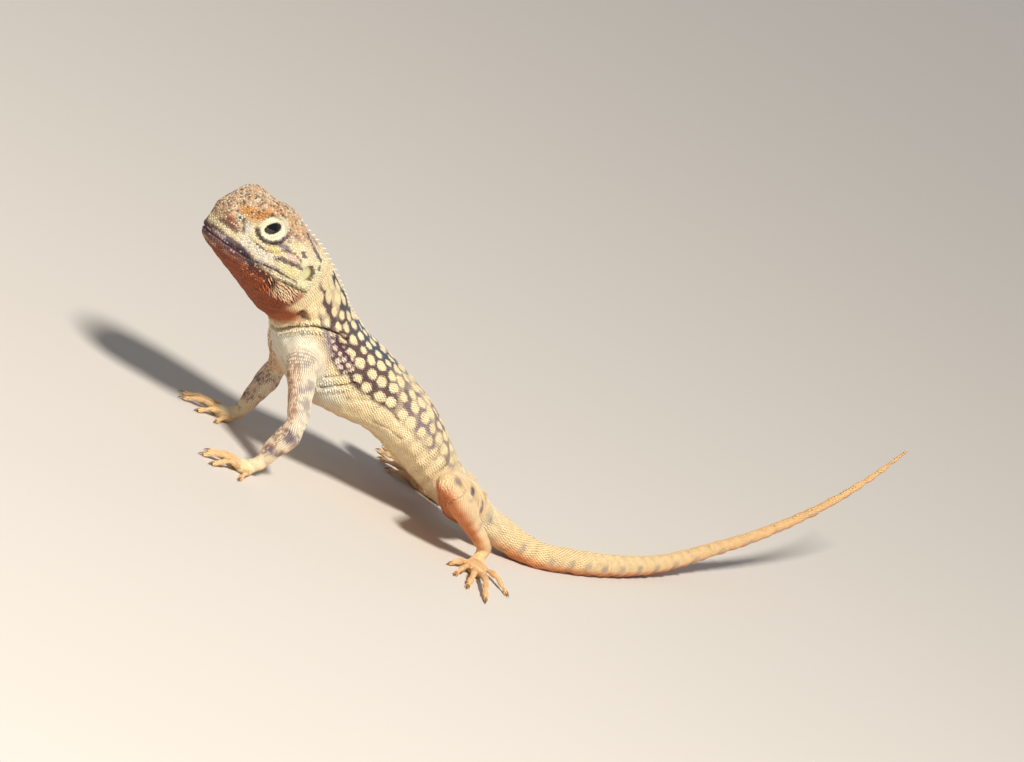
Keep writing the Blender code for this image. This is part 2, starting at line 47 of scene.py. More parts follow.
VIEW_ROLL = math.radians(31.0)
VIEW_AIM = np.array((32.4, -9.2, 37.6))
VIEW_DISTANCE = 1600.0
SEEN_WIDTH = 182.9
SENSOR_WIDTH = 36.0


def to_model(points):
    """Turn places counted from the near palm into the model's metres."""
    return (np.asarray(points) + PALM_PLACE) * MM


def put_in_scene(name, data):
    """Add an object to the scene and return it."""
    thing = bpy.data.objects.new(name, data)
    bpy.context.scene.collection.objects.link(thing)
    return thing


view_back = np.array((math.sin(VIEW_TURN) * math.cos(VIEW_RISE),
                      -math.cos(VIEW_TURN) * math.cos(VIEW_RISE), math.sin(VIEW_RISE)))
view_level = np.array((math.cos(VIEW_TURN), math.sin(VIEW_TURN), 0.0))
view_upright = np.cross(view_back, view_level)
view_right = math.cos(VIEW_ROLL) * view_level + math.sin(VIEW_ROLL) * view_upright
view_up = math.cos(VIEW_ROLL) * view_upright - math.sin(VIEW_ROLL) * view_level
lens = bpy.data.cameras.new("camera")
lens.sensor_width = SENSOR_WIDTH
lens.lens = SENSOR_WIDTH * VIEW_DISTANCE / SEEN_WIDTH
lens.clip_start = 0.05
lens.clip_end = 60.0
camera = put_in_scene("camera", lens)
stand = Matrix.Identity(4)
for column, direction in enumerate((view_right, view_up, view_back)):
    for row in range(3):
        stand[row][column] = direction[row]
eye_place = to_model(VIEW_AIM + view_back * VIEW_DISTANCE)
for row in range(3):
    stand[row][3] = eye_place[row]
camera.matrix_world = stand
bpy.context.scene.camera = camera

# The floor is a plain pale sheet, and the light is a large soft panel overhead with a weaker one
# on each side and an even pale surround.
FLOOR_HALF = 9.0
FLOOR_COLOUR = (0.62, 0.58, 0.53, 1.0)
SURROUND_COLOUR = (0.93, 0.95, 1.0, 1.0)
SURROUND_STRENGTH = 0.23
# name, direction from the animal, distance, width, power, colour
PANELS = (
    ("overhead_panel", (-0.18, -0.6, 0.82), 1.15, 0.2, 19.0, (1.0, 0.95, 0.87)),
    ("near_panel", (-0.75, -0.62, 0.25), 1.5, 0.5, 1.2, (1.0, 0.93, 0.86)),
    ("far_panel", (0.55, 0.75, 0.4), 1.5, 1.0, 2.2, (0.93, 0.96, 1.0)),
)

def new_finish(name):
    """Return a new material with its nodes, its links and the node that shades it."""
    material = bpy.data.materials.new(name)
    material.use_nodes = True
    tree = material.node_tree
    return material, tree.nodes, tree.links, tree.nodes["Principled BSDF"]


floor_mesh = bpy.data.meshes.new("floor")
floor_mesh.from_pydata([(-FLOOR_HALF, -FLOOR_HALF, 0.0), (FLOOR_HALF, -FLOOR_HALF, 0.0),
                        (FLOOR_HALF, FLOOR_HALF, 0.0), (-FLOOR_HALF, FLOOR_HALF, 0.0)], [], [(0, 1, 2, 3)])
floor = put_in_scene("floor", floor_mesh)
floor_finish, _, _, floor_shader = new_finish("floor_paper")
floor_shader.inputs["Base Color"].default_value = FLOOR_COLOUR
floor_shader.inputs["Roughness"].default_value = 0.9
floor_mesh.materials.append(floor_finish)

bpy.context.scene.view_settings.view_transform = "Standard"
surround = bpy.data.worlds.new("surround")
surround.use_nodes = True
surround.node_tree.nodes["Background"].inputs["Color"].default_value = SURROUND_COLOUR
surround.node_tree.nodes["Background"].inputs["Strength"].default_value = SURROUND_STRENGTH
bpy.context.scene.world = surround
for name, direction, distance, width, power, colour in PANELS:
    panel = bpy.data.lights.new(name, "AREA")
    panel.shape = "DISK"
    panel.size = width
    panel.energy = power
    panel.color = colour
    lamp = put_in_scene(name, panel)
    away = np.array(direction) / np.linalg.norm(direction)
    lamp.location = to_model(VIEW_AIM) + away * distance
    lamp.rotation_mode = "QUATERNION"
    lamp.rotation_quaternion = Vector(-away).to_track_quat("-Z", "Y")

# The skin is one closed hide over head, neck, trunk, tail and limbs. Its run is laid out from the
# snout backwards, with the same sizes as the solids: first the head, then the trunk, then the tail.
HEAD_LENGTH = 19.4
HEAD_PLACE = np.array((-5.3, 13.9, 34.2))
HEAD_PITCH = math.radians(2.7)
HEAD_ROLL = math.radians(4.5)
# distance behind the snout, half width, height over the mouth, depth under it
HEAD_STATIONS = (
    (0.0, 1.0, 2.1, 0.7), (0.35, 2.1, 3.8, 1.1), (1.0, 3.1, 5.9, 1.5), (2.1, 4.1, 7.9, 2.1),
    (3.7, 5.1, 9.2, 2.8), (6.2, 6.1, 9.9, 3.9), (9.0, 6.9, 9.9, 5.0), (12.4, 7.9, 9.4, 6.5),
    (15.4, 8.4, 8.7, 7.6), (17.9, 8.2, 7.6, 8.4), (19.4, 7.8, 6.9, 8.9),
)
# place of the trunk's axis, half width, height over it, depth under it
TRUNK_STATIONS = (
    (0.8, 13.9, 30.6, 6.3, 6.4, 7.7), (6.0, 13.6, 25.9, 6.6, 7.0, 8.8), (12.0, 13.4, 22.3, 8.2, 7.4, 9.1),
    (18.0, 13.5, 20.4, 8.9, 7.3, 7.6), (24.0, 13.6, 18.9, 9.3, 6.5, 6.2), (30.0, 13.6, 16.7, 9.3, 6.3, 5.8),
    (36.0, 13.5, 13.8, 8.5, 5.3, 5.3), (43.0, 13.1, 10.1, 7.0, 4.0, 4.5), (49.5, 12.5, 7.2, 6.0, 3.4, 3.9),
    (56.0, 11.7, 5.0, 4.2, 2.9, 3.2), (62.0, 11.5, 3.5, 3.1, 2.8, 2.8),
)
# place of the tail's axis and its radius
TAIL_STATIONS = (
    (68.0, 12.2, 2.4, 2.55), (79.5, 16.8, 2.15, 2.3), (94.0, 25.0, 2.0, 2.05), (108.7, 34.7, 2.7, 1.7),
    (123.0, 44.6, 5.4, 1.38), (138.7, 54.5, 10.2, 1.1), (154.0, 64.3, 17.0, 0.85),
    (163.0, 70.2, 22.6, 0.65), (172.0, 76.6, 29.6, 0.32),
)
TURN_REACH = 7.0
BROW_BACK = 8.2
BROW_LENGTH = 4.6
BROW_HEIGHT = 2.2
HIDE_DEPTH = 0.1


def unit(vectors):
    """Return vectors at length one."""
    return vectors / (np.linalg.norm(vectors, axis=-1, keepdims=True) + 1e-12)


def lengths_along(points):
    """Return how far along a line of points each of them lies."""
    return np.concatenate(([0.0], np.cumsum(np.linalg.norm(np.diff(points, axis=0), axis=1))))


def places_along(spots, along, points):
    """Return the places at distances along a line of points."""
    return np.stack([np.interp(spots, along, points[:, axis]) for axis in range(points.shape[1])], axis=1)


def climb(low, high, value):
    """Rise smoothly from 0 at low to 1 at high."""
    share = np.clip((value - low) / (high - low), 0.0, 1.0)
    return share * share * (3.0 - 2.0 * share)


def fall(low, high, value):
    """Fall smoothly from 1 at low to 0 at high."""
    return 1.0 - climb(low, high, value)


def bell(value, middle, width):
    """Return a smooth hump of height one."""
    return np.exp(-((value - middle) / width) ** 2)


head_forward = np.array((-math.cos(HEAD_PITCH), 0.0, math.sin(HEAD_PITCH)))
level_side = np.array((0.0, -1.0, 0.0))
level_up = np.cross(head_forward, level_side)
head_side = level_side * math.cos(HEAD_ROLL) + level_up * math.sin(HEAD_ROLL)
head_up = level_up * math.cos(HEAD_ROLL) - level_side * math.sin(HEAD_ROLL)


def round_turns(count):
    """Return angles spread evenly round a circle."""
    return np.linspace(0.0, 2.0 * math.pi, count, endpoint=False)


def head_point(back, left, height):
    """Turn distances behind the snout, to the left and over the mouth into places."""
    back, left, height = (np.asarray(value, dtype=float)[..., None] for value in (back, left, height))
    return HEAD_PLACE + head_forward * (HEAD_LENGTH - back) + head_side * left + head_up * height


def head_lengths(points):
    """Return how far places lie behind the snout, to the left and over the mouth."""
    away = points - HEAD_PLACE
    return HEAD_LENGTH - away @ head_forward, away @ head_side, away @ head_up


class Run:
    """A smooth run through stations, each one a place followed by its half sizes."""

    def __init__(self, rows):
        self.rows = np.array(rows, dtype=float)
        self.along = lengths_along(self.rows[:, :3])
        self.length = self.along[-1]
        self.slopes = np.gradient(self.rows, self.along, axis=0)

    def at(self, distance):
        """Return the blended rows at distances from the start."""
        distance = np.clip(np.atleast_1d(distance), 0.0, self.length)
        index = np.clip(np.searchsorted(self.along, distance, side="right") - 1, 0, len(self.along) - 2)
        span = (self.along[index + 1] - self.along[index])[:, None]
        t = (distance - self.along[index])[:, None] / span
        row, following = self.rows[index], self.rows[index + 1]
        start, end = self.slopes[index] * span, self.slopes[index + 1] * span
        return ((2 * t ** 3 - 3 * t ** 2 + 1) * row + (t ** 3 - 2 * t ** 2 + t) * start
                + (3 * t ** 2 - 2 * t ** 3) * following + (t ** 3 - t ** 2) * end)

    def heading(self, distance, reach=0.05):
        """Return the run's direction, taken between two places that far on either side."""
        distance = np.atleast_1d(distance)
        if reach < 1.0:
            distance = np.clip(distance, reach, self.length - reach)
        return unit(self.at(distance + reach)[:, :3] - self.at(distance - reach)[:, :3])


trunk_rows = [(*head_point(back, 0.0, 0.0), width, top, bottom)
              for back, width, top, bottom in HEAD_STATIONS]
trunk_rows += TRUNK_STATIONS
trunk_rows += [(x, y, z, radius, radius, radius) for x, y, z, radius in TAIL_STATIONS]
BODY = Run(trunk_rows)


def body_frame(distance):
    """Return the axis place, the left, the up and the rearward direction at distances."""
    rearward = BODY.heading(distance, TURN_REACH)
    left = unit(np.cross((0.0, 0.0, 1.0), -rearward))
    up = np.cross(-rearward, left)
    roll = (HEAD_ROLL * fall(18.0, 34.0, np.atleast_1d(distance)))[:, None]
    return (BODY.at(distance)[:, :3], left * np.cos(roll) + up * np.sin(roll),
            up * np.cos(roll) - left * np.sin(roll), rearward)


def section(distance, angle):
    """Return the sideways and upward reach of the body's surface at angles from its left."""
    sizes = BODY.at(distance)
    width, top, bottom = sizes[:, 3], sizes[:, 4], sizes[:, 5]
    on_head = fall(17.0, 24.0, distance)
    on_tail = climb(80.0, 96.0, distance)
    across, rise = np.cos(angle), np.sin(angle)
    fullness = 2.25 + 0.3 * on_head * np.maximum(rise, 0.0) - 0.25 * on_tail
    reach = np.where(rise >= 0.0, top, bottom)
    side = width * np.sign(across) * np.abs(across) ** (2.0 / fullness)
    height = reach * np.sign(rise) * np.abs(rise) ** (2.0 / fullness)
    brow = bell(distance, BROW_BACK, BROW_LENGTH) ** 2 * bell(np.abs(across), 0.62, 0.24) * (rise > 0.0)
    return side + np.sign(across) * 0.3 * BROW_HEIGHT * brow, height + BROW_HEIGHT * brow


def body_surface(distance, angle):
    """Return places on the body's surface and the rearward direction there."""
    place, left, up, rearward = body_frame(distance)
    side, height = section(distance, angle)
    return place + left * side[:, None] + up * height[:, None], rearward


# Limbs, palms, soles and digits are round lengths sunk into the trunk or into each other. The hide
# is drawn tight over them, and each keeps how far along the limb it lies, for its colours.
BODY_PART, FORE_PART, HIND_PART = 0, 1, 2
TUBE_REFERENCE = np.array((0.23, 0.31, 0.92))
DIGIT_REST = 0.72
DIGIT_TAPER = 0.28
KNUCKLE_SWELL = 0.13
PALM_SWELL = ((0.0, 0.45), (0.12, 0.8), (0.4, 1.0), (0.75, 1.0), (0.93, 0.8), (1.0, 0.5))
# turn from the palm's heading, share of its spread, set back, length, radius, arch, claw
FINGERS = (
    (52.0, 1.0, 1.3, 4.4, 0.62, 0.45, 1.3), (25.0, 0.6, 0.5, 6.0, 0.64, 0.75, 1.4),
    (3.0, 0.05, 0.0, 7.6, 0.66, 1.0, 1.5), (-15.0, -0.5, 0.3, 7.6, 0.64, 0.9, 1.5),
    (-48.0, -1.0, 1.4, 5.2, 0.6, 0.55, 1.3),
)
TOES = (
    (34.0, 1.0, 1.6, 5.6, 0.66, 0.5, 1.4), (17.0, 0.55, 0.7, 8.2, 0.68, 0.8, 1.5),
    (3.0, 0.05, 0.1, 10.8, 0.7, 1.0, 1.6), (-10.0, -0.5, 0.0, 13.2, 0.7, 1.1, 1.7),
    (-40.0, -1.0, 4.2, 8.0, 0.64, 0.7, 1.4),
)
TUBES_PER_LIMB = 9
DIGIT_REACH = 1.2
tubes = []
claw_roots = []


def add_tube(part, rows, reach_from, reach_to, flat=1.0, cap=0.85):
    """Keep one length for the hide: its run, how far along the limb it lies and its flatness."""
    tubes.append({"part": part, "run": Run(rows), "reach": (reach_from, reach_to), "flat": flat,
                  "cap": cap})


def tube_across(tube, heading):
    """Return the sideways direction of a length's sections."""
    reference = np.array((0.0, 0.0, 1.0)) if tube["flat"] < 1.0 else TUBE_REFERENCE
    return unit(np.cross(heading, reference))


def tube_surface(tube, distance, angle):
    """Return places on a length's surface and the direction towards its end."""
    run = tube["run"]
    beyond = np.where(distance < 0.0, distance, np.maximum(distance - run.length, 0.0))
    row = run.at(distance)
    heading = run.heading(distance)
    across = tube_across(tube, heading)
    upward = np.cross(across, heading)
    radius = row[:, 3]
    shrink = np.sqrt(np.clip(1.0 - (beyond / radius) ** 2, 0.0, 1.0))
    wide = (radius * shrink * np.cos(angle))[:, None]
    tall = (radius * shrink * np.sin(angle) * tube["flat"])[:, None]
    return row[:, :3] + heading * beyond[:, None] + across * wide + upward * tall, heading


def add_palm(part, start, end, start_size, end_size):
    """Keep a palm or sole, wide and flat."""
    rows = []
    for share, swell in PALM_SWELL:
        wide = (start_size[0] + (end_size[0] - start_size[0]) * share) * swell
        rows.append((*(start + (end - start) * share), wide))
    add_tube(part, rows, 1.0, 1.2, flat=0.62, cap=0.6)


def level_way(angle):
    """Return the level direction at an angle from the X axis."""
    return np.array((math.cos(angle), math.sin(angle), 0.0))


def add_digits(part, root, heading, side, digits, spread, height):
    """Keep the digits fanned from the front of a palm or sole, and where each claw goes."""
    for turn, offset, back, length, radius, arch, claw in digits:
        angle = heading + side * math.radians(turn)
        across = np.array((-math.sin(heading), math.cos(heading), 0.0)) * side
        along = level_way(heading)
        place = root + across * offset * spread - along * back
        direction = level_way(angle)
        rows = []
        for share in np.linspace(0.0, 0.97, 15):
            rest = height * (1.0 - share) + radius * DIGIT_REST * share
            lift = rest + arch * math.sin(math.pi * share) ** 1.3
            knuckle = 1.0 + KNUCKLE_SWELL * (math.cos(share * math.pi * 2.0 * round(length / 2.4)) - 0.2)
            girth = radius * (1.0 - DIGIT_TAPER * share) * knuckle
            rows.append((place[0] + direction[0] * length * share, place[1] + direction[1] * length * share,
                         lift, girth))
        add_tube(part, rows, 1.3, 2.0, cap=0.7)
        claw_roots.append((np.array(rows[-1][:3]), direction, radius, claw))


def fore_limb(side, shoulder, elbow, wrist, palm, heading):
    """Lay out upper arm, forearm, hand and fingers."""
    shoulder, elbow, wrist, palm = (np.array(place) for place in (shoulder, elbow, wrist, palm))
    inner = shoulder + np.array((2.0, -side * 3.5, 1.6))
    add_tube(FORE_PART, ((*inner, 3.2), (*shoulder, 3.1), (*(shoulder * 0.45 + elbow * 0.55), 2.35),
                         (*elbow, 1.85)), -0.2, 0.5)
    swell = elbow * 0.68 + wrist * 0.32 + np.array((0.35, 0.2 * side, 0.0))
    add_tube(FORE_PART, ((*elbow, 1.85), (*swell, 2.2), (*(elbow * 0.3 + wrist * 0.7), 1.75),
                         (*wrist, 1.35)), 0.5, 1.0)
    direction = level_way(heading)
    front = palm + direction * 1.7 - np.array((0.0, 0.0, 0.15))
    add_tube(FORE_PART, ((*wrist, 1.35), (*(wrist * 0.5 + palm * 0.5), 1.3), (*palm, 1.05)), 0.95, 1.05)
    add_palm(FORE_PART, palm - direction * 2.3, front, (1.5, 1.1), (2.15, 0.95))
    add_digits(FORE_PART, front - direction, heading, side, FINGERS, 1.45, 0.85)


def hind_limb(side, hip, knee, ankle, heading):
    """Lay out thigh, shin, foot and toes."""
    hip, knee, ankle = (np.array(place) for place in (hip, knee, ankle))
    inner = hip + np.array((1.5, -side * 1.2, 0.0))
    add_tube(HIND_PART, ((*inner, 3.6), (*hip, 3.8), (*(hip * 0.5 + knee * 0.5), 3.35), (*knee, 2.3)),
             -0.1, 0.5)
    calf = knee * 0.66 + ankle * 0.34 + np.array((0.3, 0.3 * side, 0.0))
    add_tube(HIND_PART, ((*knee, 2.25), (*calf, 2.4), (*(knee * 0.3 + ankle * 0.7), 1.7), (*ankle, 1.3)),
             0.5, 1.0)
    direction = level_way(heading)
    heel = np.array((ankle[0], ankle[1], 1.05))
    front = heel + direction * 7.2 - np.array((0.0, 0.0, 0.2))
    add_tube(HIND_PART, ((*ankle, 1.3), (*(heel + direction * 1.1), 1.15)), 0.95, 1.05)
    add_palm(HIND_PART, heel - direction * 1.3, front, (1.4, 1.05), (2.3, 0.95))
    add_digits(HIND_PART, front - direction * 1.2, heading, side, TOES, 1.7, 0.85)


fore_limb(-1.0, (3.2, 8.2, 21.6), (4.8, 1.3, 12.2), (1.9, 0.6, 2.6), (-0.9, 0.3, 1.0),
          math.radians(183.0))
fore_limb(1.0, (3.8, 18.8, 21.6), (9.6, 25.8, 13.4), (7.6, 25.4, 2.6), (5.0, 25.6, 1.0),
          math.radians(168.0))
hind_limb(-1.0, (48.5, 8.8, 7.6), (35.5, -3.9, 13.6), (51.6, 0.0, 3.8), math.radians(243.0))
hind_limb(1.0, (48.5, 16.2, 7.6), (37.2, 28.2, 12.4), (53.5, 26.0, 3.7), math.radians(110.0))

# The lengths are fused into one closed surface by a fine voxel pass, and each point of it takes
# the part, the distance and the turn of the length that it came from.
VOXEL = 0.2
EYE_BACK = 8.9
EYE_HEIGHT = 6.1
EYE_OUT = 3.75
EYE_RADIUS = 2.3
BALL_END = 0.03
LID_THICKNESS = 0.42
SMOOTH_ROUNDS = 3
JOINT_ROUNDS = 22
ROOT_ROUNDS = 130


def grid_body(points):
    """Return corners and faces of rows of points closed by a flat face at each end."""
    count, sides = points.shape[:2]
    index = np.arange(count * sides).reshape(count, sides)
    after = np.roll(index, -1, axis=1)
    quads = np.stack((index[:-1], after[:-1], after[1:], index[1:]), axis=-1).reshape(-1, 4)
    return points.reshape(-1, 3), quads.tolist(), [index[0][::-1].tolist(), index[-1].tolist()]


def ball_points(centre, reach, turn, rows=40, sides=56):
    """Return rows of points on an ellipsoid."""
    tilt = np.linspace(BALL_END, math.pi - BALL_END, rows)[:, None, None]
    spin = round_turns(sides)[None, :, None]
    forward, outward, up = turn
    return (centre + forward * reach[0] * np.cos(tilt) + outward * reach[1] * np.sin(tilt) * np.cos(spin)
            + up * reach[2] * np.sin(tilt) * np.sin(spin))


corners, faces, source = [], [], []
offset = 0


def add_form(points, part, tube, distance, angle):
    """Add one closed form to the raw hide, with the part it belongs to."""
    global offset
    spots, quads, ends = grid_body(points)
    corners.append(spots)
    for face in quads + ends:
        faces.append([corner + offset for corner in face])
    source.append(np.stack((np.full(len(spots), float(part)), np.full(len(spots), float(tube)),
                            distance.ravel(), angle.ravel()), axis=1))
    offset += len(spots)


body_spots = np.concatenate((np.array((0.0, 0.12, 0.28, 0.5, 0.8, 1.15, 1.6)), np.arange(2.0, 40.0, 0.45),
                             np.arange(40.0, BODY.length, 0.8), [BODY.length]))
turns = round_turns(128)
spot_grid, turn_grid = np.meshgrid(body_spots, turns, indexing="ij")
surface, _ = body_surface(spot_grid.ravel(), turn_grid.ravel())
add_form(surface.reshape(*spot_grid.shape, 3), BODY_PART, -1, spot_grid, turn_grid)
for number, tube in enumerate(tubes):
    run = tube["run"]
    radius = run.rows[:, 3]
    ends = np.array((-0.97, -0.85, -0.6, -0.3)) * tube["cap"]
    spots = np.concatenate((ends * radius[0], np.arange(0.0, run.length, 0.3), [run.length],
                            run.length - ends[::-1] * radius[-1]))
    spot_grid, turn_grid = np.meshgrid(spots, round_turns(40), indexing="ij")
    surface, _ = tube_surface(tube, spot_grid.ravel(), turn_grid.ravel())
    add_form(surface.reshape(*spot_grid.shape, 3), tube["part"], number, spot_grid, turn_grid)
for side in (1.0, -1.0):
    lid_reach = EYE_RADIUS + LID_THICKNESS
    ball = ball_points(head_point(EYE_BACK, side * EYE_OUT, EYE_HEIGHT),
                       (lid_reach * 1.06, lid_reach, lid_reach),
                       (head_forward, head_side * side, head_up))
    flat_turn = np.full(ball.shape[:2], 0.6 if side > 0.0 else math.pi - 0.6)
    add_form(ball, BODY_PART, -1, np.full(ball.shape[:2], EYE_BACK), flat_turn)

raw = bpy.data.meshes.new("raw_hide")
raw_points = np.concatenate(corners)
raw.from_pydata(raw_points.tolist(), [], faces)
raw_object = put_in_scene("raw_hide", raw)
fusing = raw_object.modifiers.new("fuse", "REMESH")
fusing.mode = "VOXEL"
fusing.voxel_size = VOXEL
graph = bpy.context.evaluated_depsgraph_get()
hide_mesh = bpy.data.meshes.new_from_object(raw_object.evaluated_get(graph))
hide_mesh.name = "skin"
bpy.data.objects.remove(raw_object, do_unlink=True)
bpy.data.meshes.remove(raw)


def read_points(mesh):
    """Return a mesh's corners as an array."""
    values = np.empty(len(mesh.vertices) * 3)
    mesh.vertices.foreach_get("co", values)
    return values.reshape(-1, 3)


def read_normals(mesh, points):
    """Move a mesh's corners and return their normals."""
    mesh.vertices.foreach_set("co", points.ravel())
    mesh.update()
    values = np.empty(len(mesh.vertices) * 3)
    mesh.vertices.foreach_get("normal", values)
    return values.reshape(-1, 3)


hide = read_points(hide_mesh)
edges = np.empty(len(hide_mesh.edges) * 2, dtype=np.int64)
hide_mesh.edges.foreach_get("vertices", edges)
edges = edges.reshape(-1, 2)
neighbours = np.bincount(edges.ravel(), minlength=len(hide)).astype(float)
neighbours[neighbours == 0.0] = 1.0


def relax(points, rounds, share):
    """Move each corner towards the middle of its neighbours, some rounds, by a share."""
    for _ in range(rounds):
        middle = np.empty_like(points)
        for axis in range(points.shape[1]):
            middle[:, axis] = (np.bincount(edges[:, 0], points[edges[:, 1], axis], len(points))
                               + np.bincount(edges[:, 1], points[edges[:, 0], axis],
                                             len(points))) / neighbours
        points = points + (middle - points) * share
    return points


def seeker_of(points):
    """Return a search tree over places."""
    seeker = KDTree(len(points))
    for number, point in enumerate(points):
        seeker.insert(point, number)
    seeker.balance()
    return seeker


raw_source = np.concatenate(source)
seeker = seeker_of(raw_points)
nearest = np.array([seeker.find(point)[1] for point in hide])
hide_part, hide_tube, hide_distance, hide_angle = raw_source[nearest].T


def body_places(points, distance):
    """Return how far along the body places lie and their angle round its axis from the left."""
    for _ in range(2):
        place, left, up, rearward = body_frame(distance)
        distance = np.clip(distance + np.sum((points - place) * rearward, axis=1) * 0.8, 0.0, BODY.length)
    place, left, up, rearward = body_frame(distance)
    away = points - place
    return distance, np.arctan2(np.sum(away * up, axis=1), np.sum(away * left, axis=1))


on_trunk = hide_part == BODY_PART
length_at = np.clip(hide_distance, 0.0, BODY.length)
length_at[on_trunk], hide_angle[on_trunk] = body_places(hide[on_trunk], length_at[on_trunk])
hide_distance[on_trunk] = length_at[on_trunk]

# Skin is drawn out smoothly where limbs leave the trunk and where they bend. Everywhere else the hide
# keeps the shape of what lies under it.


def joint_mask(key, rings):
    """Return a soft mask round the places where neighbouring corners differ in a key."""
    change = (key[edges[:, 0]] != key[edges[:, 1]]).astype(float)
    mixed = (np.bincount(edges[:, 0], change, len(hide))
             + np.bincount(edges[:, 1], change, len(hide))) > 0.0
    mask = mixed.astype(float)[:, None]
    for _ in range(rings):
        mask = np.maximum(mask, relax(mask, 1, 1.0) * 1.35)
    return np.clip(mask, 0.0, 1.0)


joint = joint_mask(hide_tube, 9)
root_joint = joint_mask(hide_part, 18)
on_digit = np.isin(hide_tube,
                   [number for number, tube in enumerate(tubes) if tube["reach"][0] > DIGIT_REACH])
joint[on_digit] *= 0.25
hide = relax(hide, SMOOTH_ROUNDS, 0.5)
hide = relax(hide, JOINT_ROUNDS, 0.6 * joint)
hide = relax(hide, ROOT_ROUNDS, 0.7 * root_joint)

# Then the relief is worked into it: creases of the throat, armpit and flank, the lips, the lore,
# the jowl, and the openings of eyes, nostrils and ears. Each is the same on both sides.
CREASE_STEP = 0.25
# distance along the body and angle round it in degrees, of points on each crease, then width, depth
BODY_CREASES = (
    ("gular fold", ((28.0, -88), (28.0, -69), (27.4, -51), (27.7, -36), (28.6, -16), (30.6, 7),
     (32.6, 23), (34.4, 29)), 0.36, 0.75),
    ("pocket top", ((23.7, -29), (24.9, -24), (27.0, -21)), 0.3, 0.3),
    ("pocket", ((24.6, -28), (26.2, -28)), 0.75, 0.85),
    ("pocket low", ((23.7, -30), (26.3, -35), (27.3, -38)), 0.28, 0.3),
    ("upper armpit fold", ((37.9, -26), (38.9, -8), (39.8, 6)), 0.28, 0.3),
    ("armpit fold", ((39.0, -41), (39.8, -23), (40.8, -11), (41.6, 0)), 0.34, 0.55),
    ("front flank fold", ((43.3, -22), (44.7, -11), (46.5, -2)), 0.6, 0.14),
    ("flank fold", ((46.5, -2), (47.8, 1), (49.6, 2), (51.6, 1), (53.4, -1)), 0.42, 0.3),
    ("rear flank fold", ((53.4, -1), (56.0, -2), (59.5, -3)), 0.55, 0.13),
    ("low flank fold", ((50.5, -22), (53.5, -17), (57.0, -14)), 0.45, 0.14),
    ("vent", ((89.2, -112), (89.5, -90), (89.2, -68)), 0.3, 0.45),
)
# distance behind the snout and height over the mouth of points on each crease, then width, depth
HEAD_CREASES = (
    ("mouth", ((0.0, 0.35), (0.5, 0.3), (1.2, 0.2), (2.5, 0.02), (4.5, -0.15), (7.0, -0.3), (9.5, -0.1),
     (11.35, 0.2), (13.7, 0.18), (15.5, 0.0), (17.2, -0.05)), 0.15, 0.3),
    ("upper lip", ((0.4, 1.0), (2.5, 0.72), (4.5, 0.6), (7.0, 0.45), (9.5, 0.6), (12.0, 0.85),
     (15.0, 0.75)), 0.34, -0.16),
    ("lower lip", ((0.6, -0.35), (2.5, -0.6), (4.5, -0.8), (7.0, -1.0), (9.5, -0.85), (12.0, -0.5),
     (15.0, -0.7)), 0.34, -0.06),
    ("jowl", ((14.4, -0.35), (17.6, -0.3), (20.0, -0.45)), 0.42, -0.3),
    ("under the jowl", ((14.0, -1.15), (17.6, -1.1), (20.0, -1.3)), 0.35, 0.22),
    ("nose ridge", ((2.6, 6.5), (4.6, 7.7), (6.4, 8.7), (8.6, 9.5), (10.6, 8.9)), 0.6, -0.25),
    ("brow edge", ((7.0, 8.75), (7.9, 8.73), (8.99, 9.0), (10.2, 8.5), (11.4, 7.7)), 0.3, -0.22),
    ("under the brow", ((6.9, 8.2), (7.9, 8.25), (9.0, 8.45), (10.2, 7.95)), 0.25, 0.2),
    ("lore", ((3.5, 4.9), (4.5, 4.9), (5.4, 5.1)), 0.95, 0.35),
    ("under the eye", ((5.4, 3.1), (6.8, 2.7), (8.9, 2.4), (10.6, 2.6), (12.0, 3.2)), 0.42, 0.16),
    ("eye bag", ((6.0, 3.4), (7.7, 3.15), (9.4, 3.1), (11.0, 3.5)), 0.45, -0.14),
    ("behind the lids", ((11.5, 6.6), (12.3, 6.0), (12.6, 5.0)), 0.45, 0.2),
    ("temple", ((13.2, 6.3), (14.8, 6.2), (16.2, 5.6)), 1.7, -0.32),
    ("cheek", ((13.0, 2.2), (14.6, 2.0), (15.9, 2.2)), 1.7, -0.3),
)
MOUTH_LINE = HEAD_CREASES[0][1]
# distance behind the snout, height over the mouth, half length, half height, rim, depth
NOSTRIL = (2.75, 5.25, 0.36, 0.26, 0.2, 0.75)
EAR = (18.2, 1.85, 1.35, 1.75, 0.16, 0.95)
LID_OPENING = (1.6, 0.95)
LID_INSET = 0.75
OPENING_SIDE = 1.2
OPENING_BACK = 24.0
# swell, distance behind the snout and its reach, height over the mouth and its reach
SNOUT_SWELLINGS = ((0.5, 1.2, 1.5, 5.4, 2.0), (-0.35, 0.3, 1.3, -0.55, 0.8))
# swell, distance behind the snout and its reach, heights between which it rises
CROWN_SWELLINGS = ((1.0, 13.4, 2.3, 6.5, 8.8), (0.5, 5.0, 2.4, 6.5, 8.5))


def shoot(surface_tree, start, direction):
    """Return the place where a line first meets a surface, and its normal there."""
    place, normal, _, _ = surface_tree.ray_cast(tuple(start), tuple(direction))
    return (None, None) if place is None else (np.array(place), np.array(normal))


def tree_of(mesh, points):
    """Return a search tree over a mesh's faces with its corners moved to these places."""
    mesh.vertices.foreach_set("co", points.ravel())
    mesh.update()
    return BVHTree.FromPolygons(points.tolist(), [tuple(face.vertices) for face in mesh.polygons])


def path_between(points, step):
    """Return places along straight lines between points, about a step apart."""
    points = np.asarray(points, dtype=float)
    along = lengths_along(points)
    spots = np.linspace(0.0, along[-1], max(int(along[-1] / step) + 1, 3))
    return places_along(spots, along, points)


